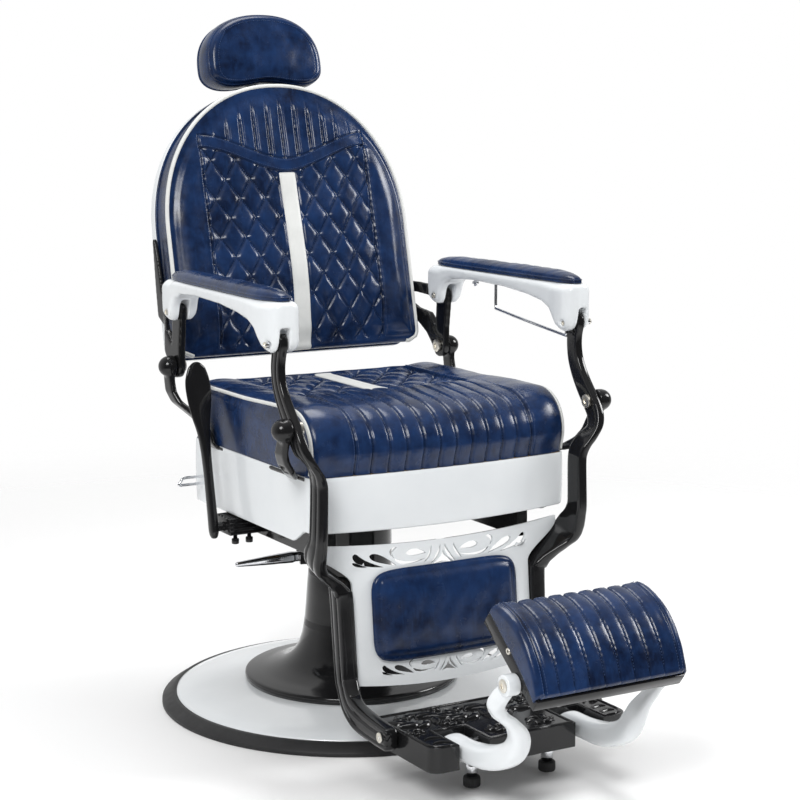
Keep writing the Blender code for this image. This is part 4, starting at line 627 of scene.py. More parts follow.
def back_height(x, s):
    """Height of the back cushion's face over its plane, and its seams as the mask of painted seam shade.
    """
    edge = back_edge(x, s) - PAD_EDGE
    inner = ease(edge / 0.014)
    height = -0.004 + 0.008 * ease(edge / 0.035) + 0.014 * ease(edge / 0.15) * ease(1.2 - s / 0.35)
    beside = np.abs(x) - PANEL_HALF_WIDTH
    band = v_line(x)
    above = s - band - V_BAND
    in_panel = beside < 0
    bolster = np.clip(beside / (BACK_HALF_WIDTH - PANEL_HALF_WIDTH), 0, 1)
    height += 0.0045 * np.sin(math.pi * bolster) ** 0.8 * ease((0.43 - s) / 0.08) * inner
    fade = ease((edge - 0.004) / 0.055) * in_panel * (above > 0)
    deep, line = channels(x, CHANNEL_PITCH, 0.45, 4)
    pucker = np.sin(2 * math.pi * s / 0.0105 + 2.4 * np.round(x / CHANNEL_PITCH))
    height -= fade * (0.0026 * deep + 0.0008 * line - 0.0003 * pucker * ridge(deep - 1, 0.6))
    seam = fade * line
    quilted = in_panel & (s < band)
    strip = ease((np.abs(x) - 0.0162) / 0.005)
    deep, line = quilt(x, s + DIAMOND_SHIFT, DIAMOND_WIDTH, DIAMOND_HEIGHT)
    height -= quilted * inner * strip * (0.0050 * deep + 0.0007 * line)
    height -= quilted * (1 - strip) * 0.003
    seam = np.maximum(seam, quilted * line * strip * 0.9)
    side_seam = ridge(beside, SEAM_WIDTH) * (above < 0.004) * inner
    edges = (ridge(s - band, SEAM_WIDTH) + ridge(above, SEAM_WIDTH)) * (beside < 0.002)
    height -= 0.0022 * side_seam + 0.0018 * edges * inner
    height += 0.0008 * ridge(np.abs(beside) - STITCH_BESIDE, 0.0025) * (above < 0.004) * inner
    height -= 0.0002 * np.sin(2 * math.pi * s / 0.012) * ridge(beside, 0.010) * inner
    return height, np.maximum(seam, np.maximum(side_seam, edges) * 0.9)


def back_surface(x, s, lift=0.0):
    """Points and normals on the back cushion's face."""
    x, s = np.broadcast_arrays(np.asarray(x, float), np.asarray(s, float))
    step = 0.002
    height = back_height(x, s)[0]
    across = (back_height(x + step, s)[0] - back_height(x - step, s)[0]) / (2 * step)
    up = (back_height(x, s + step)[0] - back_height(x, s - step)[0]) / (2 * step)
    normal = unit(BACK.at(-across, -up, np.ones_like(x)) - BACK.origin)
    return BACK.at(x, s, height + lift), normal


def disc(u, v):
    """Places in a square from -1 to 1, drawn in to a disc."""
    return u * np.sqrt(1 - v * v / 2), v * np.sqrt(1 - u * u / 2)


def arch_grid(columns, side_rows, arch_rows):
    """Flat places of the back's face, inside its rounded edge."""
    half, rise, corner = BACK_HALF_WIDTH - PAD_EDGE, BACK_RISE - PAD_EDGE, BACK_CORNER - PAD_EDGE
    u = np.linspace(-1, 1, columns + 1)
    low = np.linspace(PAD_EDGE, BACK_SIDE, side_rows + 1)[:-1]
    drop = np.clip(PAD_EDGE + corner - low, 0, corner)
    width = half - corner + np.sqrt(corner ** 2 - drop ** 2)
    x_low = width[:, None] * u
    s_low = np.repeat(low[:, None], columns + 1, 1)
    across, up = np.meshgrid(u, np.linspace(0, 1, arch_rows + 1))
    c, d = disc(across, up)
    reach = np.maximum(np.hypot(c, d), 1e-9)
    c = np.sign(c) * reach * (np.abs(c) / reach) ** ARCH_FULLNESS
    d = reach * (d / reach) ** ARCH_FULLNESS
    return np.concatenate((x_low, half * c)), np.concatenate((s_low, BACK_SIDE + rise * d))


def make_back():
    x, s = arch_grid(264, 120, 132)
    height, seam = back_height(x, s)
    front = BACK.at(x, s, height)
    inner = ease((back_edge(x, s) - PAD_EDGE) / 0.02)
    front = front + wander(front, 0.0009, 0.11)[..., None] * BACK.out * inner[..., None]
    # Rings from the rim round to the rear, by their offset outward and their depth
    ring, _ = rim_rings(x, s, BACK.at)
    edge_height = height.ravel()[rim_of(*x.shape)]
    rings = []
    for angle in (22, 45, 67, 90):
        a = math.radians(angle)
        rings.append(ring(PAD_EDGE * math.sin(a), edge_height - PAD_EDGE * (1 - math.cos(a))))
    depths = (
        (0.0078, -0.014), (0.0070, -0.020), (0.0052, -0.030), (0.0050, -0.040), (0.0062, -0.049),
        (0.0055, -0.0525), (0.0035, -0.0545),
    )
    rings += [ring(offset, depth) for offset, depth in depths]
    mesh = capped_pad("back_pad", front, rings, seam)
    add_piece("back_pad", mesh, "back", NAVY, ("back_cushion",))

    step = 3
    welt = ring(0.0060, edge_height - 0.0020)
    welt = np.concatenate((welt[x.shape[1] - 4:-1], welt[:4]))[::step]
    tube("back_piping", welt, 0.0036, "back", WHITE_LEATHER)
    rear_welt = ring(0.0066, -0.0530)[::step]
    tube("back_rear_welt", rear_welt, 0.0022, "back", NAVY, closed=True)

    front_s = np.linspace(V_VERTEX - 0.001, 0.010, 70)
    strip_front, strip_normal = back_surface(0.0, front_s)
    # Where the strip folds under the cushion: s, n and how far it still faces forward
    under = np.array((
        (0.0045, -0.006, 0.75), (0.0012, -0.011, 0.2), (0.0018, -0.020, 0.0), (0.0035, -0.036, 0.0),
        (0.004, -0.051, 0.0),
    ))
    fold = BACK.at(0.0, under[:, 0], under[:, 1])
    fold_normal = unit(under[:, 2:] * BACK.out - (1 - under[:, 2:]) * BACK.up)
    path, normals = np.concatenate((strip_front, fold)), np.concatenate((strip_normal, fold_normal))
    ribbon("back_strip", path, normals, 0.0158, 0.0016, "back", WHITE_LEATHER)

    rows = side_seam_rows(back_surface, np.linspace(0.012, V_CORNER + 0.018, 160))
    across = np.linspace(-PANEL_HALF_WIDTH + SEAM_CLEAR, PANEL_HALF_WIDTH - SEAM_CLEAR, 160)
    for shift in (0.0038, V_BAND - 0.0038):
        rows.append(back_surface(across, v_line(across) + shift, SIDE_STITCH_LIFT))
    for k in range(-5, 6):
        place = k * CHANNEL_PITCH
        low = v_line(place) + V_BAND + SEAM_CLEAR
        line = np.linspace(low, low + 0.20, 120)
        keep = back_edge(place, line) > 0.035
        rows.append(back_surface(place, line[keep], STITCH_LIFT))
    line = np.linspace(0.010, V_CORNER, 260)
    rows += quilt_rows(back_surface, line, -DIAMOND_SHIFT, DIAMOND_WIDTH, DIAMOND_HEIGHT, 0.0185,
                       lambda place: v_line(place) - SEAM_CLEAR)
    stitches("back_stitches", rows, "back")


# Seat cushion

def seat_path():
    """Middle section of the seat cushion from its rear foot over the top to its front, as y, z."""
    quarter, turn_y = math.pi / 2, SEAT_REAR - SEAT_TURN
    rear = [
        (SEAT_REAR - 0.004 + 0.004 * ease(t), SEAT_BASE + 0.087 * t) for t in np.linspace(0, 1, 14)
    ]
    turn = [
        (turn_y + SEAT_TURN * math.cos(a), SEAT_TOP - SEAT_TURN + SEAT_TURN * math.sin(a))
        for a in np.linspace(0, quarter, 8)[1:]
    ]
    top = [
        (y, SEAT_TOP + SEAT_CROWN * ease((-0.05 - y) / 0.15))
        for y in np.linspace(turn_y, SEAT_ROLL, 60)[1:]
    ]
    roll = [
        (SEAT_ROLL + (SEAT_FRONT - SEAT_ROLL) * math.sin(a),
         SEAT_TOP + SEAT_CROWN - SEAT_FALL * (1 - math.cos(a)))
        for a in np.linspace(0, quarter, 30)[1:]
    ]
    roll_foot = SEAT_TOP + SEAT_CROWN - SEAT_FALL
    foot = [
        (SEAT_FRONT + 0.008 * ease(t), roll_foot + (SEAT_BASE - roll_foot) * t)
        for t in np.linspace(0, 1, 16)[1:]
    ]
    return np.array(rear + turn + top + roll + foot)


SEAT_PATH = seat_path()
SEAT_REACH = path_reach(SEAT_PATH)
TOP_PART = slice(21, 80)
SEAT_START, SEAT_SEAM = np.interp(
    (SEAT_TURN - SEAT_REAR, -QUILT_FRONT), -SEAT_PATH[TOP_PART, 0], SEAT_REACH[TOP_PART])
SEAT_END = SEAT_REACH[-1]
SEAT_PITCH = 2 * PANEL_HALF_WIDTH / SEAT_CHANNELS


def seat_height(x, s):
    """Height of the seat cushion over its smooth section at path length s, and its seams as the mask of
    painted seam shade.
    """
    beside = np.abs(x) - PANEL_HALF_WIDTH
    in_panel = beside < 0
    top = ease((s - SEAT_START + 0.004) / 0.012)
    before = SEAT_END - s
    behind_seam = SEAT_SEAM - s
    bolster = np.clip(beside / (SEAT_HALF_WIDTH - PANEL_HALF_WIDTH), 0, 1)
    low = 0.35 + 0.65 * ease(before / 0.10)
    height = 0.0060 * np.sin(math.pi * bolster) ** 0.8 * top * low
    quilted = in_panel & (behind_seam > 0)
    strip = ease((np.abs(x) - 0.0172) / 0.005)
    deep, line = quilt(x, s - SEAT_SEAM, 2 * SEAT_PITCH, SEAT_DIAMOND_HEIGHT, 3.4, 0.055)
    puffs = strip * (0.0056 * deep + 0.0016 * line)
    height -= quilted * top * (0.002 + puffs + (1 - strip) * 0.002)
    seam = quilted * strip * line * 0.9 * top
    rolled = in_panel & (behind_seam <= 0)
    deep, line = channels(x + PANEL_HALF_WIDTH, SEAT_PITCH, 0.10, 2.6)
    swell = ease(-behind_seam / 0.014)
    pucker = np.sin(2 * math.pi * s / 0.0115 + 2.1 * np.round(x / 0.0296 + 0.5))
    height += rolled * (0.0065 * swell * (1 - ease((-behind_seam - 0.03) / 0.10)))
    height -= rolled * swell * (0.0024 * deep + 0.0004 * line - 0.0002 * pucker * ridge(deep - 1, 0.6))
    seam = np.maximum(seam, rolled * swell * line)
    side_seam = ridge(beside, SEAM_WIDTH) * top
    cross_seam = ridge(behind_seam, 0.0020) * (beside < 0.002)
    height -= 0.0022 * side_seam + 0.0040 * cross_seam
    height += 0.0008 * ridge(np.abs(beside) - STITCH_BESIDE, 0.0025) * top
    height -= 0.0002 * np.sin(2 * math.pi * s / 0.012) * ridge(beside, 0.010) * top
    over = np.clip((np.abs(x) - SEAT_HALF_WIDTH + SEAT_EDGE) / SEAT_EDGE, 0, 1)
    height -= SEAT_EDGE * (1 - np.sqrt(1 - over ** 2))
    return height, np.maximum(seam, np.maximum(side_seam, cross_seam) * 0.9)


def seat_surface(x, s, lift=0.0):
    """Points and normals of the seat cushion."""
    x, s = np.broadcast_arrays(np.asarray(x, float), np.asarray(s, float))
    y, z, along_y, along_z = section_at(s, 0.004, SEAT_PATH, SEAT_REACH)
    normal = unit(np.stack((np.zeros_like(y), along_z, -along_y), -1))
    share = np.clip((SEAT_ROLL - y) / (SEAT_ROLL - SEAT_FRONT), 0, 1)
    y = y + SEAT_BOW * x * x * share
    return np.stack((x, y, z), -1) + normal * (seat_height(x, s)[0] + lift)[..., None], normal


def edged_line(half, edge, middle, steps):
    """Places across a cushion, closer together over its two rounded edges."""
    flat = half - edge
    bend = np.sin(np.linspace(0, math.pi / 2, steps)) * edge
    return np.concatenate((-flat - bend[:0:-1], np.linspace(-flat, flat, middle), flat + bend[1:]))


def make_seat():
    x = edged_line(SEAT_HALF_WIDTH, SEAT_EDGE, 232, 7)
    wall = SEAT_START - 0.02
    s = np.concatenate((np.linspace(0, wall, 24), np.linspace(wall, SEAT_END, 290)[1:]))
    points, _ = seat_surface(x[None, :], s[:, None])
    _, seam = seat_height(*np.broadcast_arrays(x[None, :], s[:, None]))
    points = points + wander(points, 0.0008, 0.10)[..., None] * np.array((0, 0, 1.0))
    mesh = rolled_pad("seat_pad", points, seam, 0.0035)
    add_piece("seat_pad", mesh, "seat", NAVY, ("seat_cushion",))

    line = np.linspace(SEAT_START - 0.008, SEAT_END - 0.004, 150)
    for side, sign in SIDES.items():
        welt, _ = seat_surface(sign * (SEAT_HALF_WIDTH - 0.0022), line, 0.0006)
        tube(f"seat_piping_{side}", welt, 0.0031, "seat", WHITE_LEATHER)
    back_line = np.linspace(SEAT_START + 0.004, SEAT_SEAM - 0.0035, 60)
    path, normals = seat_surface(0.0, back_line, 0.0009)
    ribbon("seat_strip", path, normals, 0.0165, 0.0016, "seat", WHITE_LEATHER)

    rows = side_seam_rows(seat_surface, np.linspace(SEAT_START + 0.004, SEAT_END - 0.008, 240))
    line = np.linspace(SEAT_SEAM + 0.006, SEAT_END - 0.006, 160)
    for k in range(1, SEAT_CHANNELS):
        rows.append(seat_surface(k * SEAT_PITCH - PANEL_HALF_WIDTH, line, STITCH_LIFT))
    line = np.linspace(SEAT_START + 0.004, SEAT_SEAM - SEAM_CLEAR, 200)
    rows += quilt_rows(seat_surface, line, SEAT_SEAM, 2 * SEAT_PITCH, SEAT_DIAMOND_HEIGHT, 0.017,
                       lambda place: np.inf)
    stitches("seat_stitches", rows, "seat")


# Headrest, arm pads, calf pad and foot cushion

def headrest_outline(u, v, inset):
    """Domed over its widest level, fuller below it, with a hollow along the bottom edge."""
    x, s = disc(u, v)
    reach = np.maximum(np.hypot(x, s), 1e-6)
    fullness = np.where(s > 0, 2.3, 3.4)
    above, below = HEADREST_TOP - HEADREST_WIDEST, HEADREST_WIDEST - HEADREST_BOTTOM
    level = np.where(s > 0, above, below) - inset
    grow = reach / (np.abs(x) ** fullness + np.abs(s) ** fullness + 1e-12) ** (1 / fullness)
    hollow = HEADREST_HOLLOW * np.maximum(-s, 0) ** 2 * np.maximum(1 - (x / 0.75) ** 2, 0) ** 2
    return (HEADREST_HALF_WIDTH - inset) * x * grow, HEADREST_WIDEST + level * s * grow + hollow


def make_headrest():
    inset, crown, dome, stitched = 0.0042, 0.0085, 0.0065, 0.115
    u, v = np.meshgrid(np.linspace(-1, 1, 121), np.linspace(-1, 1, 91))
    x, s = headrest_outline(u, v, inset)
    inside = 1 - np.hypot(*disc(u, v))
    edge = np.clip(inside / 0.11, 0, 1)
    height = HEADREST_FRONT + crown * np.sqrt(1 - (1 - edge) ** 2) + dome * ease(inside / 0.9)
    pull = ridge(inside - stitched, 0.012)
    height = height - 0.0004 * pull
    front = BACK.at(x, s, height)
    front = front + (wander(front, 0.0006, 0.07) * ease(inside / 0.2))[..., None] * BACK.out
    ring, out = rim_rings(x, s, BACK.at)
    depths = (
        (0.0014, -0.0312), (0.0018, -0.0328), (0.0014, -0.0344), (0.0026, -0.0362), (0.0038, -0.0400),
        (0.0046, -0.0470), (0.0050, -0.0550), (0.0046, -0.0630), (0.0036, -0.0710), (0.0024, -0.0762),
        (0.0032, -0.0785), (0.0030, -0.0805), (0.0010, -0.0832), (-0.0050, -0.0852), (-0.0140, -0.0856),
    )
    rings = [ring(offset, depth) for offset, depth in depths]
    # Half of pull becomes the seam attribute: painted shade in the stitched dent
    mesh = capped_pad("headrest_pad", front, rings, 0.5 * pull)
    add_piece("headrest_pad", mesh, "headrest", NAVY, ("headrest_cushion",))
    for name, offset, depth in (("front", 0.0014, -0.0326), ("rear", 0.0026, -0.0790)):
        welt = ring(offset, depth)[::2]
        tube(f"headrest_{name}_welt", welt, 0.0015, "headrest", NAVY, closed=True)

    closed = list(range(len(out))) + [0]
    sideways = unit(BACK.at(*out[closed].T, 0.0) - BACK.origin)
    rows = [
        (ring(offset, depth)[closed], sideways)
        for offset, depth in ((0.0036, -0.0392), (0.0032, -0.0735))
    ]
    turn = np.linspace(0, 2 * math.pi, 200)
    reach = (1 - stitched) / np.maximum(np.abs(np.cos(turn)), np.abs(np.sin(turn)))
    across, along = np.cos(turn) * reach, np.sin(turn) * reach
    share = (1 - stitched) / np.hypot(*disc(across, along))
    flat_x, flat_s = headrest_outline(across * share, along * share, inset)
    level = HEADREST_FRONT + crown + dome * ease(stitched / 0.9) - 0.0002
    facing = np.broadcast_to(BACK.out, (len(turn), 3))
    rows.append((BACK.at(flat_x, flat_s, level), facing))
    stitches("headrest_stitches", rows, "headrest")


def arm_centre(y):
    """The armrests splay a little towards the front, and their noses turn in."""
    share = (ARM_REAR[0] - y) / (ARM_REAR[0] - ARM_FRONT[0])
    return ARM_REAR_X + (ARM_FRONT_X - ARM_REAR_X) * share - 0.005 * ease((-0.225 - y) / 0.06)


def level_at(x, y, z):
    """Points at a level z."""
    return np.stack(np.broadcast_arrays(x, y, z), -1)


def make_arm_pad(side):
    sign = SIDES[side]

    def outline(u, v, inset):
        y = (ARM_PAD_FRONT + ARM_PAD_REAR) / 2 + v * ((ARM_PAD_REAR - ARM_PAD_FRONT) / 2 - inset)
        half = (0.0212 + 0.0030 * ease(0.5 - v / 2) - inset) * np.sqrt(1 - 0.93 * np.abs(v) ** 5)
        return sign * (arm_centre(y) + u * half), y

    base = ARM_TOP + 0.0003
    u, v = np.meshgrid(np.sin(np.linspace(-1, 1, 25) * math.pi / 2), np.linspace(-1, 1, 150))
    v = np.sign(v) * (1 - (1 - np.abs(v)) ** 1.35)
    x, y = outline(u, v, 0.0016)
    crown = (1 - u * u) * (1 - np.abs(v) ** 5)
    front = np.stack((x, y, base + 0.0068 + 0.0122 * np.sqrt(crown)), -1)
    pleats = np.sin((y + 0.6 * sign * x) / PAD_PLEAT_PITCH * math.tau + wander(front, 2.2, 0.05))
    front[..., 2] += (wander(front, 0.0006, 0.06) + 0.00035 * pleats) * np.sqrt(crown)
    ring, _ = rim_rings(x, y, level_at, sign)
    rises = (
        (0.0012, 0.0066), (0.0016, 0.0056), (0.0008, 0.0046), (0.0016, 0.0034), (0.0016, 0.0012),
        (0.0006, 0.0),
    )
    body = f"armrest_{side}"
    mesh = capped_pad(f"arm_pad_{side}", front, [ring(offset, base + rise) for offset, rise in rises])
    add_piece(f"arm_pad_{side}", mesh, body, NAVY, (f"armpad_{side}",))
    welt = ring(0.0012, base + 0.0058)[::2]
    tube(f"arm_pad_welt_{side}", welt, 0.0011, body, NAVY, closed=True)


def panel_half_width(z):
    """The panel fills the space between the legs: wide under the seat, drawn in to the lower legs."""
    return 0.1645 + (0.2260 - 0.1645) * ease((z - 0.284) / 0.062)


def panel_y(x, z):
    """Front of the panel: bowed forward in the middle and leaning forward at the foot."""
    return -0.290 - 0.010 * (1 - (x / 0.2275) ** 2) - 0.100 * (PANEL_EDGE_Z - z)


def panel_at(x, z, thickness):
    """Points at a thickness over the panel's front."""
    return np.stack((x, panel_y(x, z) - thickness, z), -1)


def make_calf_pad():
    def outline(u, v, inset):
        round_off = 0.16
        x = (CALF_HALF_WIDTH - inset) * u * np.sqrt(1 - round_off * v ** 8)
        half = (CALF_TOP - CALF_BOTTOM) / 2 - inset
        return x, (CALF_TOP + CALF_BOTTOM) / 2 + half * v * np.sqrt(1 - round_off * u ** 8)

    u, v = np.meshgrid(np.linspace(-1, 1, 120), np.linspace(-1, 1, 70))
    x, z = outline(u, v, 0.005)
    from_side = (1 - np.abs(u)) * CALF_HALF_WIDTH
    edge = np.minimum(from_side, (1 - np.abs(v)) * (CALF_TOP - CALF_BOTTOM) / 2)
    full = (1 - u ** 2) * (1 - v ** 2)
    piped = 0.35 * ridge(edge - 0.0045, 0.0018)
    thickness = 0.0095 + 0.0045 * ease(edge / 0.016) + 0.0065 * full ** 0.7 - 0.0016 * piped
    front = panel_at(x, z, thickness)
    front[..., 1] += wander(front, 0.0009, 0.075) * ease(edge / 0.02)
    ring, _ = rim_rings(x, z, panel_at)
    depths = ((0.0026, 0.0086), (0.0044, 0.0068), (0.0050, 0.0046), (0.0046, 0.0022), (0.0030, 0.0006))
    rings = [ring(offset, thick) for offset, thick in depths]
    # Part of piped becomes the seam attribute: painted shade in the piping groove
    mesh = capped_pad("calf_cushion", front, rings, 0.7 * piped)
    add_piece("calf_cushion", mesh, "leg_rest", NAVY, ("calf_pad",))
    tube("calf_welt", ring(0.0046, 0.0050)[::2], 0.0016, "leg_rest", NAVY, closed=True)


def foot_crown(v):
    """Height of the foot cushion over the tray's underside, v from -1 at its low edge to 1 above."""
    return TRAY_DEPTH + 0.005 + 0.016 * (v + 1) / 2 + 0.0308 * np.cos(v * math.pi / 2 * 0.96) ** 0.75


def foot_section():
    """Section of the foot cushion from its low foot over the crown to its high one, as s, n."""
    half = FOOT_HALF_LENGTH
    v = np.sin(np.linspace(-1, 1, 70) * math.pi / 2)
    low = [(-half + 0.002, TRAY_DEPTH + 0.0004), (-half - 0.0005, TRAY_DEPTH + 0.0035)]
    high = [
        (half + 0.0005, TRAY_DEPTH + 0.012), (half, TRAY_DEPTH + 0.004),
        (half - 0.002, TRAY_DEPTH + 0.0004),
    ]
    return np.array(low + list(zip(v * half, foot_crown(v))) + high)


FOOT_HALF_LENGTH = TRAY_HALF_LENGTH - 0.003
FOOT_PATH = foot_section()
FOOT_REACH = path_reach(FOOT_PATH)
FOOT_PITCH = 2 * (TRAY_HALF_WIDTH - FOOT_BORDER) / FOOT_CHANNELS


def foot_surface(x, s, lift=0.0):
    """Points, normals and seams of the foot cushion at path length s; the seams are the mask of painted
    seam shade.
    """
    x, s = np.broadcast_arrays(np.asarray(x, float), np.asarray(s, float))
    place, height, along, up = section_at(s, 0.006, FOOT_PATH, FOOT_REACH)
    length = np.maximum(np.hypot(along, up), 1e-9)
    deep, line = channels(x + TRAY_HALF_WIDTH - FOOT_BORDER, FOOT_PITCH, 0.0, 2.3)
    end = np.abs(x) - TRAY_HALF_WIDTH + FOOT_BORDER
    held = ease(np.minimum(s, FOOT_REACH[-1] - s) / 0.022)
    inside = end < -0.5 * FOOT_PITCH
    pucker = np.sin(2 * math.pi * s / 0.0095 + 2.0 * np.round(x / FOOT_PITCH))
    sink = held * inside * (0.0018 * deep + 0.0004 * line - 0.0002 * pucker * ridge(deep - 1, 0.6))
    border = ridge(end, 0.0016) * held
    sink = sink + 0.0020 * border - 0.0008 * ridge(np.abs(end) - 0.0046, 0.0026) * held
    over = np.clip((np.abs(x) - TRAY_HALF_WIDTH + FOOT_EDGE) / FOOT_EDGE, 0, 1)
    sink = sink + FOOT_EDGE * (1 - np.sqrt(1 - over ** 2))
    shift = lift - sink
    points = TRAY.at(x, place - up / length * shift, height + along / length * shift)
    normal = unit(TRAY.at(np.zeros_like(x), -up / length, along / length) - TRAY.origin)
    return points, normal, np.maximum(held * inside * line, border)


def make_foot_cushion():
    x = edged_line(TRAY_HALF_WIDTH, FOOT_EDGE, 190, 9)
    s = np.linspace(0, FOOT_REACH[-1], 130)
    points, _, seam = foot_surface(x[None, :], s[:, None])
    points = points + wander(points, 0.0005, 0.06)[..., None] * TRAY.out
    mesh = rolled_pad("foot_pad_cushion", points, seam, -0.006)
    add_piece("foot_pad_cushion", mesh, "foot_pad", NAVY, ("foot_cushion",))
    rows = []
    line = np.linspace(0.022, FOOT_REACH[-1] - 0.022, 120)
    for k in range(1, FOOT_CHANNELS):
        rows.append(foot_surface((k - FOOT_CHANNELS / 2) * FOOT_PITCH, line, STITCH_LIFT)[:2])
    line = np.linspace(0.012, FOOT_REACH[-1] - 0.012, 120)
    for sign in (-1, 1):
        for beside in (-0.0030, 0.0034):
            place = sign * (TRAY_HALF_WIDTH - FOOT_BORDER + beside)
            rows.append(foot_surface(place, line, 0.0007)[:2])
    stitches("foot_stitches", rows, "foot_pad")
    for side, sign in SIDES.items():
        make_foot_wrap(side, sign)


def make_foot_wrap(side, sign):
    """The leather that rolls over an end of the foot cushion and hangs down on the tray's end."""
    outer, inner = TRAY_HALF_WIDTH + 0.0032, TRAY_HALF_WIDTH - FOOT_BORDER
    corner, thick = 0.0095, 0.0028
    share = np.linspace(-0.985, 0.985, 72)
    crown = foot_crown(share) + 0.0002
    low = np.interp(share, (-1, -0.5, 0, 1), (0.0150, 0.0215, 0.0255, 0.0275))
    radius = np.minimum(corner, 0.65 * (crown - low))
    rows = [(inner, crown - 0.0012), (inner + 0.0022, crown)]
    rows += [
        (outer - radius + radius * math.sin(angle), crown - radius + radius * math.cos(angle))
        for angle in np.linspace(0, math.pi / 2, 9)
    ]
    rows += [
        (outer + 0.0004, crown - radius + (low - crown + radius) * down) for down in (0.4, 0.75, 0.92)
    ]
    rows += [
        (outer - 0.0003, low + 0.0006), (outer - 0.0012, low), (outer - thick, low + 0.0008),
        (outer - thick, crown - radius), (inner, crown - 0.0045),
    ]
    points = np.stack([TRAY.at(sign * x, share * FOOT_HALF_LENGTH, n) for x, n in rows], 1)
    points = points + wander(points, 0.0006, 0.035)[..., None] * TRAY.out
    name = f"foot_end_{side}"
    mesh = mesh_of(name, points, loft_faces(len(share), len(rows)))
    add_piece(name, mesh, "foot_pad", NAVY)


# Rigid pieces

def body_of(node):
    """The body that carries a CAD node."""
    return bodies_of(frame["nodes"][node])[0]


def welded(node):
    """A copy of a node's mesh with shared corners and flat areas made whole."""
    mesh = frame["nodes"][node].data.copy()
    bm = bmesh.new()
    bm.from_mesh(mesh)
    bmesh.ops.remove_doubles(bm, verts=bm.verts, dist=1e-5)
    bmesh.ops.dissolve_limit(bm, angle_limit=math.radians(1.0), verts=bm.verts, edges=bm.edges)
    for edge in bm.edges:
        edge.smooth = edge.calc_face_angle(0.0) < SHARP_EDGE
    bm.to_mesh(mesh)
    bm.free()
    mesh.materials.clear()
    shade_smooth(mesh)
    return mesh


def cast_finish(node, look, grain=0.0018, passes=24):
    """A casting: the node's form, its facets and edges smoothed as paint and moulding leave them."""
    obj = add_piece(f"{node}_casting", welded(node), body_of(node), look, (node,))
    remesh = obj.modifiers.new("Surface", "REMESH")
    remesh.mode = "VOXEL"
    remesh.voxel_size = grain
    remesh.use_smooth_shade = True
    relax = obj.modifiers.new("Relax", "SMOOTH")
    relax.factor = 0.5
    relax.iterations = passes
    return obj


def broken_edge(obj, width, angle):
    """Breaks the hard edges of an object."""
    bevel = obj.modifiers.new("Edge", "BEVEL")
    bevel.width = width
    bevel.segments = 2
    bevel.limit_method = "ANGLE"
    bevel.angle_limit = angle
    return bevel


def machined_finish(node, look, edge):
    """A machined or bent piece: the node's form with its hard edges broken."""
    obj = add_piece(f"{node}_finish", welded(node), body_of(node), look, (node,))
    broken_edge(obj, edge, SHARP_EDGE).harden_normals = True
    return obj


def turned_piece(name, profile, body, look, replaces=(), steps=144, centre=(0, 0, 0),
                 ribs=0):
    """A turned form from its closed profile of radius and height, with ribs round it where asked."""
    pinhole = 0.0003
    profile = np.maximum(np.asarray(profile), (pinhole, -1.0))
    angle = np.arange(steps) * 2 * math.pi / steps
    swell = 1 - 0.05 * (0.5 + 0.5 * np.cos(ribs * angle)) if ribs else np.ones(steps)
    radius = swell[:, None] * profile[:, 0]
    points = np.stack((
        np.cos(angle)[:, None] * radius, np.sin(angle)[:, None] * radius,
        np.broadcast_to(profile[:, 1], (steps, len(profile))),
    ), -1) + np.array(centre)
    mesh = mesh_of(name, points, loft_faces(steps, len(profile), closed=True))
    return add_piece(name, mesh, body, look, replaces)


def rounded(points, steps=6):
    """A smooth path through points."""
    points = np.asarray(points, float)
    padded = np.concatenate((2 * points[:1] - points[1:2], points, 2 * points[-1:] - points[-2:-1]))
    result = []
    for a, b, c, d in zip(padded, padded[1:], padded[2:], padded[3:]):
        bend, twist = 2 * a - 5 * b + 4 * c - d, 3 * b - a - 3 * c + d
        for t in np.arange(steps) / steps:
            result.append(0.5 * (2 * b + (c - a) * t + bend * t * t + twist * t ** 3))
    return np.array(result + [points[-1]])


def sweep_piece(name, stations, section, body, look, replaces, mirror):
    """A bar along stations of x, y, z, half width across and half depth, with a section's outline."""
    path = rounded(stations, 5)
    along = np.gradient(path[:, :3], axis=0) * (0, 1, 1)
    front = np.cross(unit(along), ACROSS)
    section = np.asarray(section)
    wide = section[None, :, :1] * path[:, None, 3:4] * ACROSS
    deep = section[None, :, 1:] * path[:, None, 4:5] * front[:, None]
    points = (path[:, None, :3] + wide + deep) * (mirror, 1, 1)
    mesh = mesh_of(name, points, loft_faces(len(path), len(section)))
    return add_piece(name, mesh, body, look, replaces)


TURN = np.arange(48) * math.pi / 24
RING = np.stack((np.cos(TURN), np.sin(TURN)), 1)
HEXAGON = RING * (math.cos(math.pi / 6) / np.cos(TURN % (math.pi / 3) - math.pi / 6))[:, None]


def axial_piece(name, rows, centre, sign, body, look, replaces=(), hollow=False):
    """A piece along X from rows of an outline, its radius and its distance from the middle plane."""
    y, z = centre
    rings = [
        level_at(sign * reach, y + radius * shape[:, 0], z + radius * shape[:, 1])
        for shape, radius, reach in rows
    ]
    mesh = mesh_of(name, np.array(rings), loft_faces(len(rings), len(RING), closed=hollow))
    mesh.set_sharp_from_angle(angle=SHARP_RIM)
    return add_piece(name, mesh, body, look, replaces)


def round_rows(*sizes):
    """Rows of round rings from their radius and distance."""
    return [(RING, radius, reach) for radius, reach in sizes]


def socket_head(radius, base, top):
    """Rows of a bolt head with a hexagon socket, from the face it sits on to its outer side."""
    height = top - base
    return [
        (RING, radius, base), (RING, radius, base + 0.55 * height), (RING, 0.88 * radius, top),
        (RING, 0.60 * radius, top), (HEXAGON, 0.46 * radius, top - 0.05 * height),
        (HEXAGON, 0.44 * radius, base + 0.2 * height), (HEXAGON, 0.04 * radius, base + 0.15 * height),
    ]


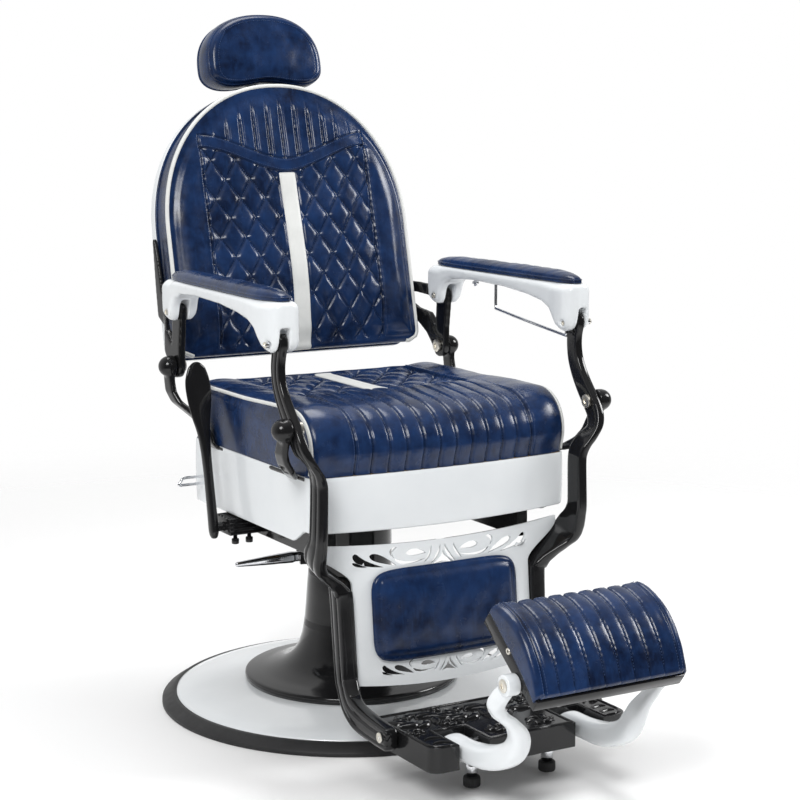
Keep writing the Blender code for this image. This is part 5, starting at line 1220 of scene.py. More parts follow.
def socket_cap(radius, base, face, grow):
    """Rows of a socket head over the plain end of a solid bolt at face, built out by grow."""
    return [
        (RING, radius, base), (RING, radius, face + 0.4 * grow), (RING, 0.88 * radius, face + grow),
        (RING, 0.60 * radius, face + grow), (HEXAGON, 0.47 * radius, face + 0.95 * grow),
        (HEXAGON, 0.45 * radius, face + 0.12 * grow), (HEXAGON, 0.04 * radius, face + 0.08 * grow),
    ]


def facing_piece(name, rows, places, axis, body, look):
    """Alike turned fittings at several places, all along one axis, as one piece."""
    axis = unit(np.array(axis, float))
    side = unit(np.cross(axis, (1.0, 0.0, 0.0) if abs(axis[0]) < 0.9 else (0.0, 0.0, 1.0)))
    other = np.cross(axis, side)
    points, faces = [], []
    for place in places:
        faces += loft_faces(len(rows), len(RING), len(RING) * len(points))
        for shape, radius, reach in rows:
            ring = shape[:, :1] * side + shape[:, 1:] * other
            points.append(np.asarray(place) + reach * axis + radius * ring)
    mesh = mesh_of(name, np.concatenate(points), faces)
    mesh.set_sharp_from_angle(angle=SHARP_RIM)
    return add_piece(name, mesh, body, look)


def arch_path(inset, depth, steps):
    """Points round the back's arch from its left foot to its right one, inset from the outline."""
    half, foot = BACK_HALF_WIDTH - inset, inset
    turn = np.linspace(0, math.pi, steps)
    x = half * np.sign(np.cos(turn)) * np.abs(np.cos(turn)) ** ARCH_FULLNESS
    s = BACK_SIDE + (BACK_RISE - inset) * np.sin(turn) ** ARCH_FULLNESS
    x = np.concatenate(([half, half], x, [-half, -half]))
    s = np.concatenate(([foot, 0.5 * (foot + BACK_SIDE)], s, [0.5 * (foot + BACK_SIDE), foot]))
    return BACK.at(x, s, depth)


def make_rear():
    """Fittings on the rear side: the shell's bead and screws, the headrest's clamp and screws."""
    bead = arch_path(0.026, SHELL_REAR, 80)
    tube("back_shell_bead", bead, 0.0024, "back", SHELL, closed=True)
    rim = spaced(arch_path(0.013, SHELL_REAR, 80), 0.118)
    plate = [BACK.at(x, s, -0.0910) for x in (-0.040, 0.040) for s in (0.515, 0.575)]
    knob = round_rows(
        (0.0060, -0.0005), (0.0060, 0.0050), (0.0105, 0.0056), (0.0125, 0.0072), (0.0125, 0.0150),
        (0.0110, 0.0168), (0.0060, 0.0176), (0.0004, 0.0178))
    clamp = [BACK.at(0.0, 0.390, SLEEVE_REAR)]
    sleeve = [BACK.at(x, s, SLEEVE_REAR) for x in (-0.022, 0.022) for s in (0.340, 0.440)]
    box = [(x, BOX_REAR, 0.442) for x in (-0.180, -0.060, 0.060, 0.180)]
    rear, box_rear = -BACK.out, (0, 1, 0)
    fittings = (
        ("back_shell_screws", socket_head(0.0052, -0.0004, 0.0022), rim, rear, "back", ZINC),
        ("headrest_plate_screws", socket_head(0.0048, -0.0004, 0.0024), plate, rear, "headrest", CHROME),
        ("headrest_clamp", knob, clamp, rear, "back", BLACK),
        ("headrest_sleeve_screws", socket_head(0.0042, -0.0004, 0.0024), sleeve, rear, "back", CHROME),
        ("seat_box_screws", socket_head(0.0048, -0.0006, 0.0022), box, box_rear, "seat", ZINC),
    )
    for fitting in fittings:
        facing_piece(*fitting)


def make_base():
    white_radius = BASE_RADIUS - RUBBER_WIDTH - 0.0003
    crown = rounded([
        (radius, BASE_FOOT + DOME_RISE * rise)
        for radius, rise in (
            (0.110, 1.0), (0.180, 0.99), (0.235, 0.88), (0.278, 0.65), (white_radius, 0.36))
    ])
    rim = [(white_radius, BASE_FOOT), (white_radius - 0.003, BASE_FOOT)]
    dome = np.concatenate((crown, rim, crown[-6::-4] - (0, 0.003)))
    turned_piece("base_dome_paint", dome, "base", WHITE, ("base_dome",))

    inside = BASE_RADIUS - RUBBER_WIDTH
    ring = [
        (inside, 0.0178), (inside + 0.0006, 0.0185), (inside + 0.0062, 0.0186),
        (inside + 0.0078, 0.0180),
        (BASE_RADIUS - 0.0012, 0.0075), (BASE_RADIUS - 0.0002, 0.0062), (BASE_RADIUS, 0.0050),
        (BASE_RADIUS, 0.0008), (BASE_RADIUS - 0.0008, 0.0), (inside, 0.0),
    ]
    turned_piece("base_edge_rubber", ring, "base", RUBBER, ("base_rubber_ring",))

    bell = rounded([
        (0.0745, COVER_TOP - 0.001), (0.0770, 0.200), (0.0795, 0.165), (0.0830, 0.132), (0.0895, 0.104),
        (0.1010, 0.083), (0.1200, 0.067), (0.1460, 0.0575), (0.1700, 0.0530),
        (FLANGE_RADIUS - 0.004, 0.0508), (FLANGE_RADIUS - 0.0008, 0.0487), (FLANGE_RADIUS, 0.0455),
    ])
    foot = [
        (FLANGE_RADIUS - 0.002, 0.0391), (0.150, 0.0391), (0.0900, 0.080), (0.0705, COVER_TOP - 0.003),
        (0.0712, COVER_TOP), (0.0738, COVER_TOP),
    ]
    cover = np.concatenate((bell, foot))
    turned_piece("column_cover_paint", cover, "base", BLACK, ("column_cover",))


def leaf_spine(points, head, steps):
    """Path of a curved leaf along three points, its sideways vectors and fullness, most at head."""
    a, b, c = (np.array(point, float) for point in points)
    control = 2 * b - 0.5 * (a + c)
    t = np.linspace(0, 1, steps)[:, None]
    path = (1 - t) ** 2 * a + 2 * t * (1 - t) * control + t * t * c
    along = unit(np.gradient(path, axis=0))
    side = np.stack((-along[:, 1], along[:, 0]), 1)
    power = math.log(0.5) / math.log(head)
    return path, side, np.sin(math.pi * t ** power) ** 0.8


def stroke(points, width, head):
    """Outline of a curved leaf, pointed at both ends."""
    path, side, full = leaf_spine(points, head, 18)
    half = 0.5 * width * full
    return np.concatenate((path + side * half, (path - side * half)[-2:0:-1]))


# Scroll cut-outs of one half of the panel's top band: three points of the stroke, its width and where
# it is widest. The band below is the same, smaller.
SCROLLS = (
    (((0.158, 0.333), (0.146, 0.319), (0.108, 0.307)), 0.0115, 0.30),
    (((0.133, 0.327), (0.113, 0.320), (0.085, 0.307)), 0.0120, 0.38),
    (((0.163, 0.319), (0.152, 0.314), (0.137, 0.310)), 0.0050, 0.35),
    (((0.083, 0.336), (0.094, 0.330), (0.089, 0.319)), 0.0060, 0.40),
    (((0.088, 0.318), (0.066, 0.3095), (0.032, 0.3135)), 0.0050, 0.35),
    (((0.068, 0.3245), (0.050, 0.3250), (0.031, 0.3215)), 0.0110, 0.42),
    (((0.021, 0.3325), (0.0245, 0.319), (0.036, 0.306)), 0.0052, 0.55),
    (((0.0045, 0.3330), (0.0090, 0.318), (0.024, 0.302)), 0.0058, 0.55),
)
LENS = np.array((
    (0.0, 0.3235), (0.004, 0.3140), (0.020, 0.3015), (0.0, 0.3045), (-0.020, 0.3015), (-0.004, 0.3140),
))
SCROLL_TOP, LOW_SCALE, LOW_TOP = 0.336, 0.74, 0.1545


def make_panel():
    """The bowed sheet with its pierced scrolls, replacing the plainer one."""
    curve = bpy.data.curves.new("panel_outline", "CURVE")
    curve.dimensions = "2D"
    curve.fill_mode = "BOTH"
    levels = np.linspace(PANEL_BOTTOM, PANEL_TOP, 50)
    right = [(panel_half_width(z), z) for z in levels]
    share = np.linspace(1, -1, 41)[1:-1]
    high = PANEL_TOP - PANEL_TOP_SAG * (1 - share ** 2)
    low = PANEL_BOTTOM - PANEL_BOTTOM_SAG * (1 - share ** 2)
    top = list(zip(share * panel_half_width(high), high))
    bottom = list(zip(-share * panel_half_width(low), low))
    outlines = [np.array(right + top + [(-x, z) for x, z in right[::-1]] + bottom)]
    for points, width, head in SCROLLS:
        for sign in (-1, 1):
            leaf = stroke(points, width, head) * (sign, 1)
            outlines.append(leaf)
            outlines.append(leaf * (LOW_SCALE, LOW_SCALE) + (0, LOW_TOP - LOW_SCALE * SCROLL_TOP))
    for scale, top in ((1.0, SCROLL_TOP), (LOW_SCALE, LOW_TOP)):
        outlines.append(LENS * scale + (0, top - scale * SCROLL_TOP))
    for outline in outlines:
        spline = curve.splines.new("POLY")
        spline.points.add(len(outline) - 1)
        for point, place in zip(spline.points, outline):
            point.co = (*place, 0, 1)
        spline.use_cyclic_u = True
    holder = bpy.data.objects.new("panel_outline", curve)
    flat = bpy.data.meshes.new_from_object(holder)
    bpy.data.objects.remove(holder)
    bm = bmesh.new()
    bm.from_mesh(flat)
    bmesh.ops.remove_doubles(bm, verts=bm.verts, dist=1e-6)
    cuts = [((x, 0, 0), (1, 0, 0)) for x in np.linspace(-0.22, 0.22, 45)]
    cuts += [((0, z, 0), (0, 1, 0)) for z in np.linspace(PANEL_BOTTOM - 0.002, PANEL_TOP - 0.02, 12)]
    for place, normal in cuts:
        whole = bm.verts[:] + bm.edges[:] + bm.faces[:]
        bmesh.ops.bisect_plane(bm, geom=whole, plane_co=place, plane_no=normal)
    for vert in bm.verts:
        x, z = vert.co.x, vert.co.y
        vert.co = (x, float(panel_y(x, z)), z)
    bmesh.ops.recalc_face_normals(bm, faces=bm.faces)
    if sum(face.normal.y for face in bm.faces) > 0:
        bmesh.ops.reverse_faces(bm, faces=bm.faces)
    mesh = bpy.data.meshes.new("panel_fretwork")
    bm.to_mesh(mesh)
    bm.free()
    shade_smooth(mesh)
    obj = add_piece("panel_fretwork", mesh, "leg_rest", WHITE, ("leg_panel",))
    sheet = obj.modifiers.new("Sheet", "SOLIDIFY")
    sheet.thickness = PANEL_THICKNESS
    sheet.offset = -1
    broken_edge(obj, 0.0008, math.radians(50))


# Stations of a front leg from its clevis to its foot: x, y, z, half width across, half depth
LEG_STATIONS = (
    (0.2735, -0.2765, 0.6840, 0.0060, 0.0080), (0.2735, -0.2768, 0.6790, 0.0065, 0.0125),
    (0.2735, -0.2765, 0.6690, 0.0065, 0.0150), (0.2738, -0.2720, 0.6500, 0.0065, 0.0145),
    (0.2745, -0.2705, 0.6300, 0.0065, 0.0143), (0.2747, -0.2745, 0.6080, 0.0066, 0.0145),
    (0.2745, -0.2850, 0.5870, 0.0067, 0.0150), (0.2742, -0.3010, 0.5650, 0.0068, 0.0158),
    (0.2740, -0.3190, 0.5440, 0.0068, 0.0165), (0.2735, -0.3330, 0.5250, 0.0068, 0.0165),
    (0.2690, -0.3400, 0.5080, 0.0070, 0.0165), (0.2580, -0.3405, 0.4940, 0.0073, 0.0165),
    (0.2460, -0.3370, 0.4790, 0.0077, 0.0170), (0.2400, -0.3340, 0.4640, 0.0080, 0.0175),
    (0.2385, -0.3330, 0.4450, 0.0080, 0.0178), (0.2398, -0.3330, 0.3820, 0.0082, 0.0185),
    (0.2398, -0.3300, 0.3650, 0.0084, 0.0200), (0.2394, -0.3240, 0.3505, 0.0088, 0.0235),
    (0.2370, -0.3160, 0.3370, 0.0095, 0.0265), (0.2300, -0.3095, 0.3230, 0.0110, 0.0260),
    (0.2150, -0.3050, 0.3090, 0.0130, 0.0220), (0.1990, -0.3010, 0.2960, 0.0142, 0.0185),
    (0.1865, -0.2970, 0.2830, 0.0138, 0.0180), (0.1800, -0.2945, 0.2650, 0.0133, 0.0180),
    (0.1790, -0.3060, 0.1500, 0.0133, 0.0180), (0.1815, -0.3180, 0.1260, 0.0130, 0.0180),
    (0.1860, -0.3380, 0.1060, 0.0120, 0.0190), (0.1885, -0.3650, 0.0945, 0.0110, 0.0205),
    (0.1890, -0.4050, 0.0890, 0.0108, 0.0195), (0.1890, -0.4520, 0.0860, 0.0108, 0.0180),
    (0.1890, -0.4630, 0.0858, 0.0106, 0.0165), (0.1890, -0.4675, 0.0858, 0.0095, 0.0120),
)
# Section of a leg with two grooves along its outer side
LEG_SECTION = (
    (0.55, -1.00), (0.80, -0.95), (0.95, -0.84), (1.00, -0.72), (0.97, -0.64), (0.80, -0.58),
    (0.78, -0.54), (0.95, -0.48), (1.02, -0.39), (1.05, -0.10), (1.02, 0.15), (0.95, 0.23),
    (0.77, 0.28), (0.77, 0.33), (0.95, 0.39), (1.02, 0.48), (1.04, 0.66), (1.00, 0.84),
    (0.88, 0.95), (0.65, 1.00), (0.0, 1.02), (-0.60, 1.00), (-0.85, 0.95), (-0.97, 0.84),
    (-1.00, 0.60), (-1.00, 0.0), (-1.00, -0.60), (-0.97, -0.84), (-0.85, -0.95), (-0.60, -1.00),
    (0.0, -1.02),
)
# Stations of a pad arm from its tail in the platform to its barrel
PAD_ARM_STATIONS = (
    (0.1065, -0.4985, 0.0800, 0.0165, 0.0070), (0.1065, -0.5030, 0.0800, 0.0170, 0.0125),
    (0.1065, -0.5150, 0.0800, 0.0170, 0.0160), (0.1065, -0.5550, 0.0805, 0.0170, 0.0165),
    (0.1045, -0.5980, 0.0850, 0.0178, 0.0183), (0.1025, -0.6350, 0.0960, 0.0175, 0.0188),
    (0.1015, -0.6640, 0.1125, 0.0169, 0.0180), (0.1022, -0.6790, 0.1340, 0.0157, 0.0162),
    (0.1090, -0.6830, 0.1525, 0.0147, 0.0144), (0.1230, -0.6840, 0.1665, 0.0139, 0.0134),
    (0.1370, -0.6830, 0.1785, 0.0132, 0.0132), (0.1465, -0.6860, 0.1930, 0.0120, 0.0133),
    (0.1455, -0.6920, 0.2060, 0.0103, 0.0136), (0.1408, -0.7000, 0.2185, 0.0074, 0.0134),
    (0.1392, -0.7075, 0.2280, 0.0070, 0.0120),
)
# Stations of the recline lever from its tail to its tip, with y and z from its pivot
LEVER_STATIONS = (
    (0.268, -0.0034, -0.0184, 0.0008, 0.0010), (0.268, -0.0033, -0.0178, 0.0030, 0.0036),
    (0.268, -0.0030, -0.0160, 0.0050, 0.0060), (0.268, -0.0020, -0.0100, 0.0068, 0.0095),
    (0.268, 0.0, 0.0, 0.0072, 0.0105), (0.268, 0.0050, 0.0280, 0.0072, 0.0100),
    (0.268, 0.0190, 0.0980, 0.0072, 0.0092), (0.268, 0.0310, 0.1480, 0.0100, 0.0080),
    (0.269, 0.0400, 0.1830, 0.0170, 0.0062), (0.269, 0.0460, 0.2130, 0.0220, 0.0052),
    (0.270, 0.0500, 0.2380, 0.0219, 0.0047), (0.270, 0.0530, 0.2580, 0.0162, 0.0042),
    (0.270, 0.0540, 0.2640, 0.0119, 0.0038), (0.270, 0.0545, 0.2680, 0.0072, 0.0031),
    (0.270, 0.0547, 0.2696, 0.0036, 0.0020), (0.270, 0.0548, 0.2701, 0.0008, 0.0008),
)


def make_legs():
    """Front legs, pad arms and the bolt heads beside them."""
    roundness = 0.7
    pad_section = np.sign(RING) * np.abs(RING) ** roundness
    for side, sign in SIDES.items():
        sweep_piece(f"front_leg_{side}_casting", LEG_STATIONS, LEG_SECTION, "leg_rest", BLACK,
                    (f"front_leg_{side}",), sign)
        sweep_piece(f"pad_arm_{side}_casting", PAD_ARM_STATIONS, pad_section, "pad_arms", WHITE,
                    (f"pad_arm_{side}",), sign)
        barrel = round_rows(
            (0.0044, 0.1290), (0.0148, 0.1290), (0.0156, 0.1298), (0.0158, 0.1310), (0.0158, 0.1476),
            (0.0154, 0.1486), (0.0146, 0.1491), (0.0044, 0.1491))
        axial_piece(f"pad_barrel_{side}", barrel, TRAY_PIVOT, sign, "pad_arms", WHITE, hollow=True)
        shank = round_rows((0.0004, 0.1172), (0.0040, 0.1172), (0.0040, 0.1494))
        axial_piece(f"tray_screw_{side}", shank + socket_head(0.0098, 0.1494, 0.1512), TRAY_PIVOT, sign,
                    "foot_pad", ZINC, (f"tray_bolt_{side}",))
        screw = socket_head(0.0080, 0.2020, 0.2036)
        axial_piece(f"foot_screw_{side}", screw, FOOT_BOLT, sign, "leg_rest", ZINC)
        cheek, screw = TRAY.at(0.0, 0.012, 0.0190)[1:], socket_head(0.0052, 0.1278, 0.1297)
        axial_piece(f"cheek_screw_{side}", screw, cheek, sign, "foot_pad", ZINC)
        for end, x, place in (("rear", ARM_REAR_X, ARM_REAR), ("front", ARM_FRONT_X, ARM_FRONT)):
            for face, way in (("outer", 1), ("inner", -1)):
                rows = socket_cap(0.0050, x + 0.0245 * way, x + 0.0262 * way, 0.0011 * way)
                name = f"clevis_screw_{end}_{face}_{side}"
                axial_piece(name, rows, place, sign, f"armrest_{side}", ZINC)
        pivots = (("front", FRONT_PIVOT, 0.2662, 0.2630), ("rear", REAR_PIVOT, 0.2549, 0.2516))
        for end, place, base, face in pivots:
            rows = socket_cap(0.0112, base, face, -0.0018)
            axial_piece(f"pivot_head_{end}_{side}", rows, place, sign, "seat", ZINC)
        full, tip = (0.0036, 0.0034), (0.0030, 0.0028)
        lip = [(0.2340, y, 0.4562, *size) for y, size in (
            (-0.2815, tip), (-0.279, full), (-0.262, full), (-0.235, full), (-0.205, full),
            (-0.180, full), (-0.166, full), (-0.1630, tip))]
        sweep_piece(f"flange_lip_{side}", lip, pad_section, "seat", BLACK, (), sign)


def box_outline():
    """Plan of the seat box at even steps: bowed front, straight sides, round corners."""
    turn_in = BOX_HALF_WIDTH - BOX_CORNER
    front = [(x, BOX_FRONT + BOX_BOW * x * x) for x in np.linspace(0, turn_in, 30)]
    knee = front[-1][1]
    side = [
        (BOX_HALF_WIDTH - 0.25 * BOX_CORNER, knee + 0.6 * BOX_CORNER),
        (BOX_HALF_WIDTH, knee + 1.4 * BOX_CORNER),
    ]
    turn = [math.radians(angle) for angle in range(0, 91, 10)]
    rear = [
        (turn_in + BOX_CORNER * math.cos(a), BOX_REAR - BOX_CORNER + BOX_CORNER * math.sin(a))
        for a in turn
    ]
    half = front + side + rear
    whole = half + [(-x, y) for x, y in half[::-1]]
    return spaced(np.array([(x, y, 0.0) for x, y in whole + whole[:1]]), 0.004)[:, :2]


def make_box():
    """The pressed seat box: a slightly bellied wall with a rolled lower edge."""
    loop = box_outline()
    out = outward(loop)
    rise = BOX_FRONT_BOTTOM - BOX_BOTTOM + BOX_CORNER_RISE * (loop[:, 0] / BOX_HALF_WIDTH) ** 2
    low = BOX_BOTTOM + rise * ease((-0.235 - loop[:, 1]) / 0.05)
    high = SEAT_BASE - 0.0003
    wall = [(0.0, -0.0024), (0.006, -0.0010), (0.018, -0.0002)]
    wall += [(t, 0.0010 * math.sin(math.pi * t)) for t in np.linspace(0.035, 0.98, 16)]
    wall += [(1.0, -0.0008), (1.0, -BOX_WALL), (0.0, -BOX_WALL)]
    points = [np.column_stack((loop + out * offset, low + (high - low) * t)) for t, offset in wall]
    faces = loft_faces(len(wall), len(loop), closed=True)
    mesh = mesh_of("seat_box_paint", np.array(points), faces)
    mesh.set_sharp_from_angle(angle=math.radians(60))
    add_piece("seat_box_paint", mesh, "seat", SHELL, ("seat_box",))


def leaf_mounds(name, strokes, level, body, look):
    """Cast leaves in relief: each is three plan points, a width, its widest place and a height."""
    steps = 12
    sections = (
        (-1.0, -0.3), (-0.72, 0.45), (-0.3, 0.9), (0.0, 0.72), (0.3, 0.9), (0.72, 0.45), (1.0, -0.3),
    )
    points, faces = [], []
    for spots, width, head, height in strokes:
        spine, side, full = leaf_spine(spots, head, steps)
        rise = height * (0.3 + 0.7 * full[:, 0])
        rows = [
            np.column_stack((spine + side * (0.5 * width * u * full), level + rise * v))
            for u, v in sections
        ]
        count = len(points) * steps * len(sections)
        points.append(np.stack(rows, 1).reshape(-1, 3))
        faces += [[count + number for number in face] for face in grid_faces(steps, len(sections))]
    add_piece(name, mesh_of(name, np.concatenate(points), faces), body, look)


def make_platform_relief():
    """Raised rim and curling leaves on top of the foot platform."""
    # Rosettes of one half: their middle, their reach and the number of leaves
    rosettes = (
        (0.042, -0.441, 0.037, 8), (0.128, -0.438, 0.037, 8), (0.160, -0.486, 0.014, 5),
        (0.084, -0.472, 0.018, 6), (0.086, -0.408, 0.014, 5), (0.036, -0.529, 0.021, 6),
    )
    strokes = []
    for sign in (-1, 1):
        for x, y, reach, leaves in rosettes:
            for k in range(leaves):
                angle = 2 * math.pi * (k + 0.3) / leaves
                spots = []
                for share, turn in ((0.28, 0.0), (0.65, 0.35), (1.05, 0.95)):
                    way = np.array((math.cos(angle + turn), math.sin(angle + turn)))
                    spots.append((np.array((x, y)) + reach * share * way * (1.25, 0.85)) * (sign, 1))
                strokes.append((spots, 0.46 * reach, 0.55, 0.0040 + 0.07 * reach))
        for x, y in ((0.150, -0.520), (0.150, -0.543)):
            spots = ((x - 0.014, y - 0.006), (x, y + 0.004), (x + 0.015, y - 0.002))
            strokes.append(([(sign * across, along) for across, along in spots], 0.012, 0.5, 0.0036))
    for k in range(5):
        angle = math.radians(30 + 30 * k)
        tip = np.array((0.030 * math.cos(angle), -0.487 + 0.034 * math.sin(angle)))
        strokes.append(([(0, -0.492), tip * 0.5 + np.array((0, -0.2445)), tip], 0.012, 0.55, 0.0052))
    leaf_mounds("platform_leaves", strokes, PLATFORM_TOP, "leg_rest", BLACK)
    inset, corner = 0.0045, 0.018
    half, front, rear = PLATFORM_HALF_WIDTH - inset, PLATFORM_FRONT + inset, PLATFORM_REAR - inset
    edge = [
        (SLOT_INNER - inset, front), (SLOT_INNER - inset, SLOT_REAR + inset),
        (SLOT_OUTER + inset, SLOT_REAR + inset), (SLOT_OUTER + inset, front), (half - corner, front),
        (half - 0.3 * corner, front + 0.3 * corner), (half, front + corner), (half, rear),
    ]
    route = [(x, y, PLATFORM_TOP) for x, y in edge + [(-x, y) for x, y in edge[::-1]]]
    tube("platform_rim", np.array(route), 0.0022, "leg_rest", BLACK, closed=True)


def make_bracket():
    """Screws under the recline lever's bracket and the ribs of its casting."""
    screw = [
        (0.0, -0.0160), (0.0055, -0.0160), (0.0062, -0.0152), (0.0062, -0.0080), (0.0056, -0.0072),
        (0.0034, -0.0072), (0.0034, 0.0010), (0.0, 0.0010),
    ]
    for k, x in enumerate((-0.2345, -0.2090)):
        turned_piece(f"bracket_screw_{k}", screw, "seat", BLACK, (), 32, (x, -0.028, 0.3205), 16)
    for k in range(5):
        y = -0.0365 + 0.0115 * k
        route = np.array([(-0.2485, y, 0.3470), (-0.2200, y, 0.3474), (-0.1925, y, 0.3474)])
        tube(f"bracket_rib_{k}", route, 0.0030, "seat", BLACK)
    for k in range(3):
        z = 0.3235 + 0.0085 * k
        route = np.array([(-0.2485, -0.0375, z), (-0.1925, -0.0375, z)])
        tube(f"bracket_front_rib_{k}", route, 0.0026, "seat", BLACK)


def make_pegs():
    """The platform's pegs: post, collar and rubber grip."""
    for side, sign in SIDES.items():
        place = (sign * PEG_X, PEG_Y, 0.0)
        top = PEG_BOTTOM + PEG_TIP
        tip = [
            (0.0, top), (0.0112, top), (0.0128, top - 0.0016), (0.0134, top - 0.0040),
            (0.0134, PEG_BOTTOM + 0.0030), (0.0126, PEG_BOTTOM + 0.0008), (0.0112, PEG_BOTTOM),
            (0.0, PEG_BOTTOM),
        ]
        turned_piece(f"peg_grip_{side}", tip, "leg_rest", RUBBER, (f"peg_tip_{side}",),
                     120, place, 30)
        post = [
            (0.0, 0.0587), (0.0094, 0.0587), (0.0094, 0.0500), (0.0090, 0.0495), (0.0090, 0.0410),
            (0.0094, 0.0405), (0.0094, top + 0.0003), (0.0, top + 0.0003),
        ]
        turned_piece(f"peg_post_{side}", post, "leg_rest", CHROME, (f"peg_{side}",), 64, place)
        collar = [
            (0.0096, 0.0588), (0.0190, 0.0588), (0.0196, 0.0580), (0.0196, 0.0548), (0.0188, 0.0540),
            (0.0096, 0.0540),
        ]
        turned_piece(f"peg_collar_{side}", collar, "leg_rest", BLACK, (), 64, place)


def make_lever():
    """The recline lever's spoon and its shaft."""
    y, z = LEVER_PIVOT
    paddle = [(reach, y + back, z + up, wide, deep) for reach, back, up, wide, deep in LEVER_STATIONS]
    soft_section = np.sign(RING) * np.abs(RING) ** 0.8
    sweep_piece("recline_lever_casting", paddle, soft_section, "recline_lever", BLACK,
                ("recline_lever",), -1)
    shaft = round_rows((0.0004, 0.2120), (0.0075, 0.2120), (0.0075, 0.2680), (0.0004, 0.2680))
    axial_piece("recline_lever_shaft", shaft, LEVER_PIVOT, -1, "recline_lever", BLACK)


def make_wires():
    """The welt under the seat's rear edge, the left armrest's stud and the bent wires."""
    welt = [(0.2315, 0.1080), (0.2295, 0.1155), (0.2220, 0.1193), (0.1500, 0.1195), (0.0, 0.1195)]
    welt += [(-across, along) for across, along in welt[-2::-1]]
    route = rounded([(across, along, SEAT_BASE + 0.0006) for across, along in welt])
    tube("seat_rear_welt", route, 0.0042, "seat", NAVY)
    stud = (0.265, 0.020, 0.0)
    pin = [(0.0, 0.7160), (0.0028, 0.7160), (0.0028, 0.7040), (0.0020, 0.7030), (0.0, 0.7030)]
    turned_piece("arm_stud", pin, "armrest_left", CHROME, steps=32, centre=stud)
    level = 0.7072
    nut = [
        (0.0, level + 0.0048), (0.0056, level + 0.0048), (0.0064, level + 0.0040),
        (0.0064, level + 0.0008), (0.0056, level), (0.0, level),
    ]
    turned_piece("arm_stud_nut", nut, "armrest_left", CHROME, steps=6, centre=stud)
    x, rear, front = 0.259, -0.055, -0.2685
    bar = [(x, y, z) for y, z in (
        (rear, 0.7150), (rear, 0.6950), (rear, 0.6790), (rear - 0.0025, 0.6725),
        (rear - 0.0090, 0.6697), ((rear + front) / 2, 0.6582), (front + 0.0090, 0.6476),
        (front + 0.0020, 0.6478), (front, 0.6502), (front, 0.6560),
    )]
    tube("towel_bar_wire", rounded(bar), 0.0026, "armrest_left", CHROME, replaces=("towel_bar",))
    handle = [(across, 0.088, up) for across, up in (
        (-0.192, 0.399), (-0.250, 0.399), (-0.270, 0.399), (-0.2765, 0.3975), (-0.2790, 0.3940),
        (-0.2830, 0.3895), (-0.2815, 0.3872), (-0.270, 0.3870), (-0.250, 0.387), (-0.192, 0.387),
    )]
    tube("side_handle_wire", rounded(handle), 0.0025, "side_handle", CHROME, replaces=("side_handle",))


# Machined and bent pieces: their look and the width of their broken edges
MACHINED = {
    "back_shell": (SHELL, 0.004), "foot_tray": (BLACK, 0.0016), "foot_platform": (BLACK, 0.0022),
    "seat_frame": (BLACK, 0.0015), "swivel_plate": (BLACK, 0.001), "lever_bracket": (BLACK, 0.0018),
    "headrest_sleeve": (BLACK, 0.0018), "headrest_post": (CHROME, 0.001), "pump_head": (BLACK, 0.0014),
    "ram": (BLACK, 0.0014), "foot_bolt_left": (CHROME, 0.0006), "foot_bolt_right": (CHROME, 0.0006),
}
# Inside pieces that stay as they are in the frame; the others of these are plain steel
STAYING = {"seat_riser": BLACK, "seat_board": PLYWOOD}


def make_rigid():
    """Castings and machined pieces from the frame's own nodes, and finishes for those that stay."""
    for side in SIDES:
        cast_finish(f"armrest_{side}", WHITE)
    for node in ("front_bracket", "rear_bracket", "back_arm"):
        for side in SIDES:
            cast_finish(f"{node}_{side}", BLACK)
    cast_finish("pump_lever", CHROME, 0.0010, 6)
    for node, (look, edge) in MACHINED.items():
        machined_finish(node, look, edge)
    for end in ("front", "rear"):
        for side in SIDES:
            machined_finish(f"{end}_pivot_{side}", CHROME, 0.0008)
            machined_finish(f"arm_pin_{end}_{side}", CHROME, 0.0006)
    for name, node in frame["nodes"].items():
        if not node.hide_render:
            node.data.materials.clear()
            node.data.materials.append(STAYING.get(name, STEEL)[0])


# Floor, light and camera

def maths(tree, operation, first, second, **settings):
    """Result of a calculation with two values or links."""
    node = add_node(tree, "ShaderNodeMath", {0: first, 1: second}, operation=operation, **settings)
    return node.outputs[0]


def put(name, data, place, target):
    """Puts a lamp or camera in the scene, turned to its target."""
    obj = bpy.data.objects.new(name, data)
    obj.location = place
    obj.rotation_euler = (Vector(target) - Vector(place)).to_track_quat("-Z", "Y").to_euler()
    bpy.context.scene.collection.objects.link(obj)
    return obj


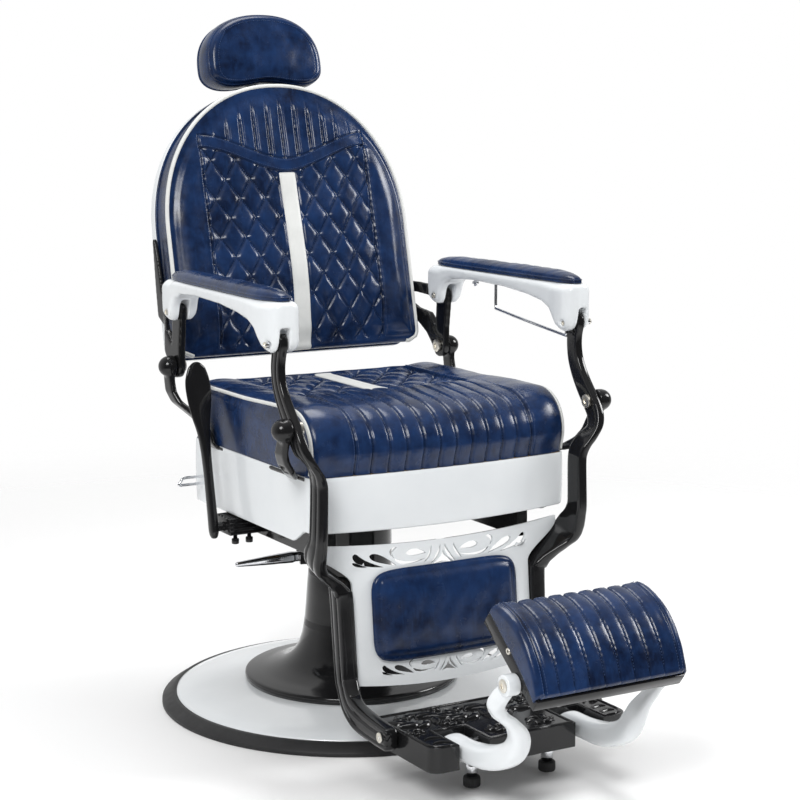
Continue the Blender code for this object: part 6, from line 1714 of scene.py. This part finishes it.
def make_stage():
    bpy.ops.mesh.primitive_circle_add(
        vertices=96, radius=6.0, fill_type="NGON", location=(0, 0, -0.0004))
    floor = bpy.context.object
    floor.name = "floor"
    material, tree, surface = shader("Floor", 0.7, (0.90, 0.90, 0.90), specular=0.2)
    inputs = {0: object_place(tree)}
    reach = add_node(tree, "ShaderNodeVectorMath", inputs, operation="LENGTH").outputs["Value"]
    inputs = {"Value": reach, "From Min": 0.9, "From Max": 2.6, "To Min": 1.0, "To Max": 0.0}
    fade = add_node(
        tree, "ShaderNodeMapRange", inputs, interpolation_type="SMOOTHSTEP").outputs["Result"]
    tree.links.new(fade, surface.inputs["Alpha"])
    floor.data.materials.append(material)

    world = bpy.data.worlds.new("Studio")
    bpy.context.scene.world = world
    world.use_nodes = True
    tree = world.node_tree
    path = add_node(tree, "ShaderNodeLightPath").outputs
    seen = maths(tree, "ADD", path["Is Camera Ray"], path["Is Glossy Ray"])
    seen = maths(tree, "ADD", seen, path["Is Transmission Ray"], use_clamp=True)
    direction = add_node(tree, "ShaderNodeTexCoord").outputs["Generated"]
    way = add_node(tree, "ShaderNodeSeparateXYZ", {0: direction}).outputs
    behind = spread(tree, way["Y"], 0.05, 0.75, -0.35, 0.45)
    above = spread(tree, way["Z"], 0.0, 0.5, 0.62, 0.98)
    room = maths(tree, "MAXIMUM", behind, above)
    shown = maths(tree, "MAXIMUM", room, path["Is Camera Ray"])
    level = add_node(tree, "ShaderNodeMix", {0: seen, 2: 0.52, 3: shown}).outputs[0]
    background = tree.nodes["Background"]
    background.inputs["Color"].default_value = (1, 1, 1, 1)
    tree.links.new(level, background.inputs["Strength"])

    lamps = (
        ("key", (-2.3, -2.2, 2.7), 1.4, 74.0), ("fill", (2.9, -1.2, 2.1), 1.2, 54.0),
        ("top", (0.2, 0.6, 3.4), 1.8, 50.0),
    )
    for name, place, size, power in lamps:
        light = bpy.data.lights.new(name, "AREA")
        light.shape = "DISK"
        light.size = size
        light.energy = power
        put(name, light, place, (0, -0.1, 0.5))

    camera = bpy.data.cameras.new("Camera")
    camera.lens = CAMERA_LENS
    camera.sensor_width = 36.0
    bpy.context.scene.camera = put("Camera", camera, CAMERA_PLACE, CAMERA_TARGET)
    bpy.context.scene.view_settings.view_transform = "Standard"


make_stage()
make_back()
make_seat()
make_headrest()
for chair_side in SIDES:
    make_arm_pad(chair_side)
make_calf_pad()
make_foot_cushion()
make_base()
make_box()
make_panel()
make_legs()
make_platform_relief()
make_bracket()
make_pegs()
make_lever()
make_wires()
make_rear()
make_rigid()
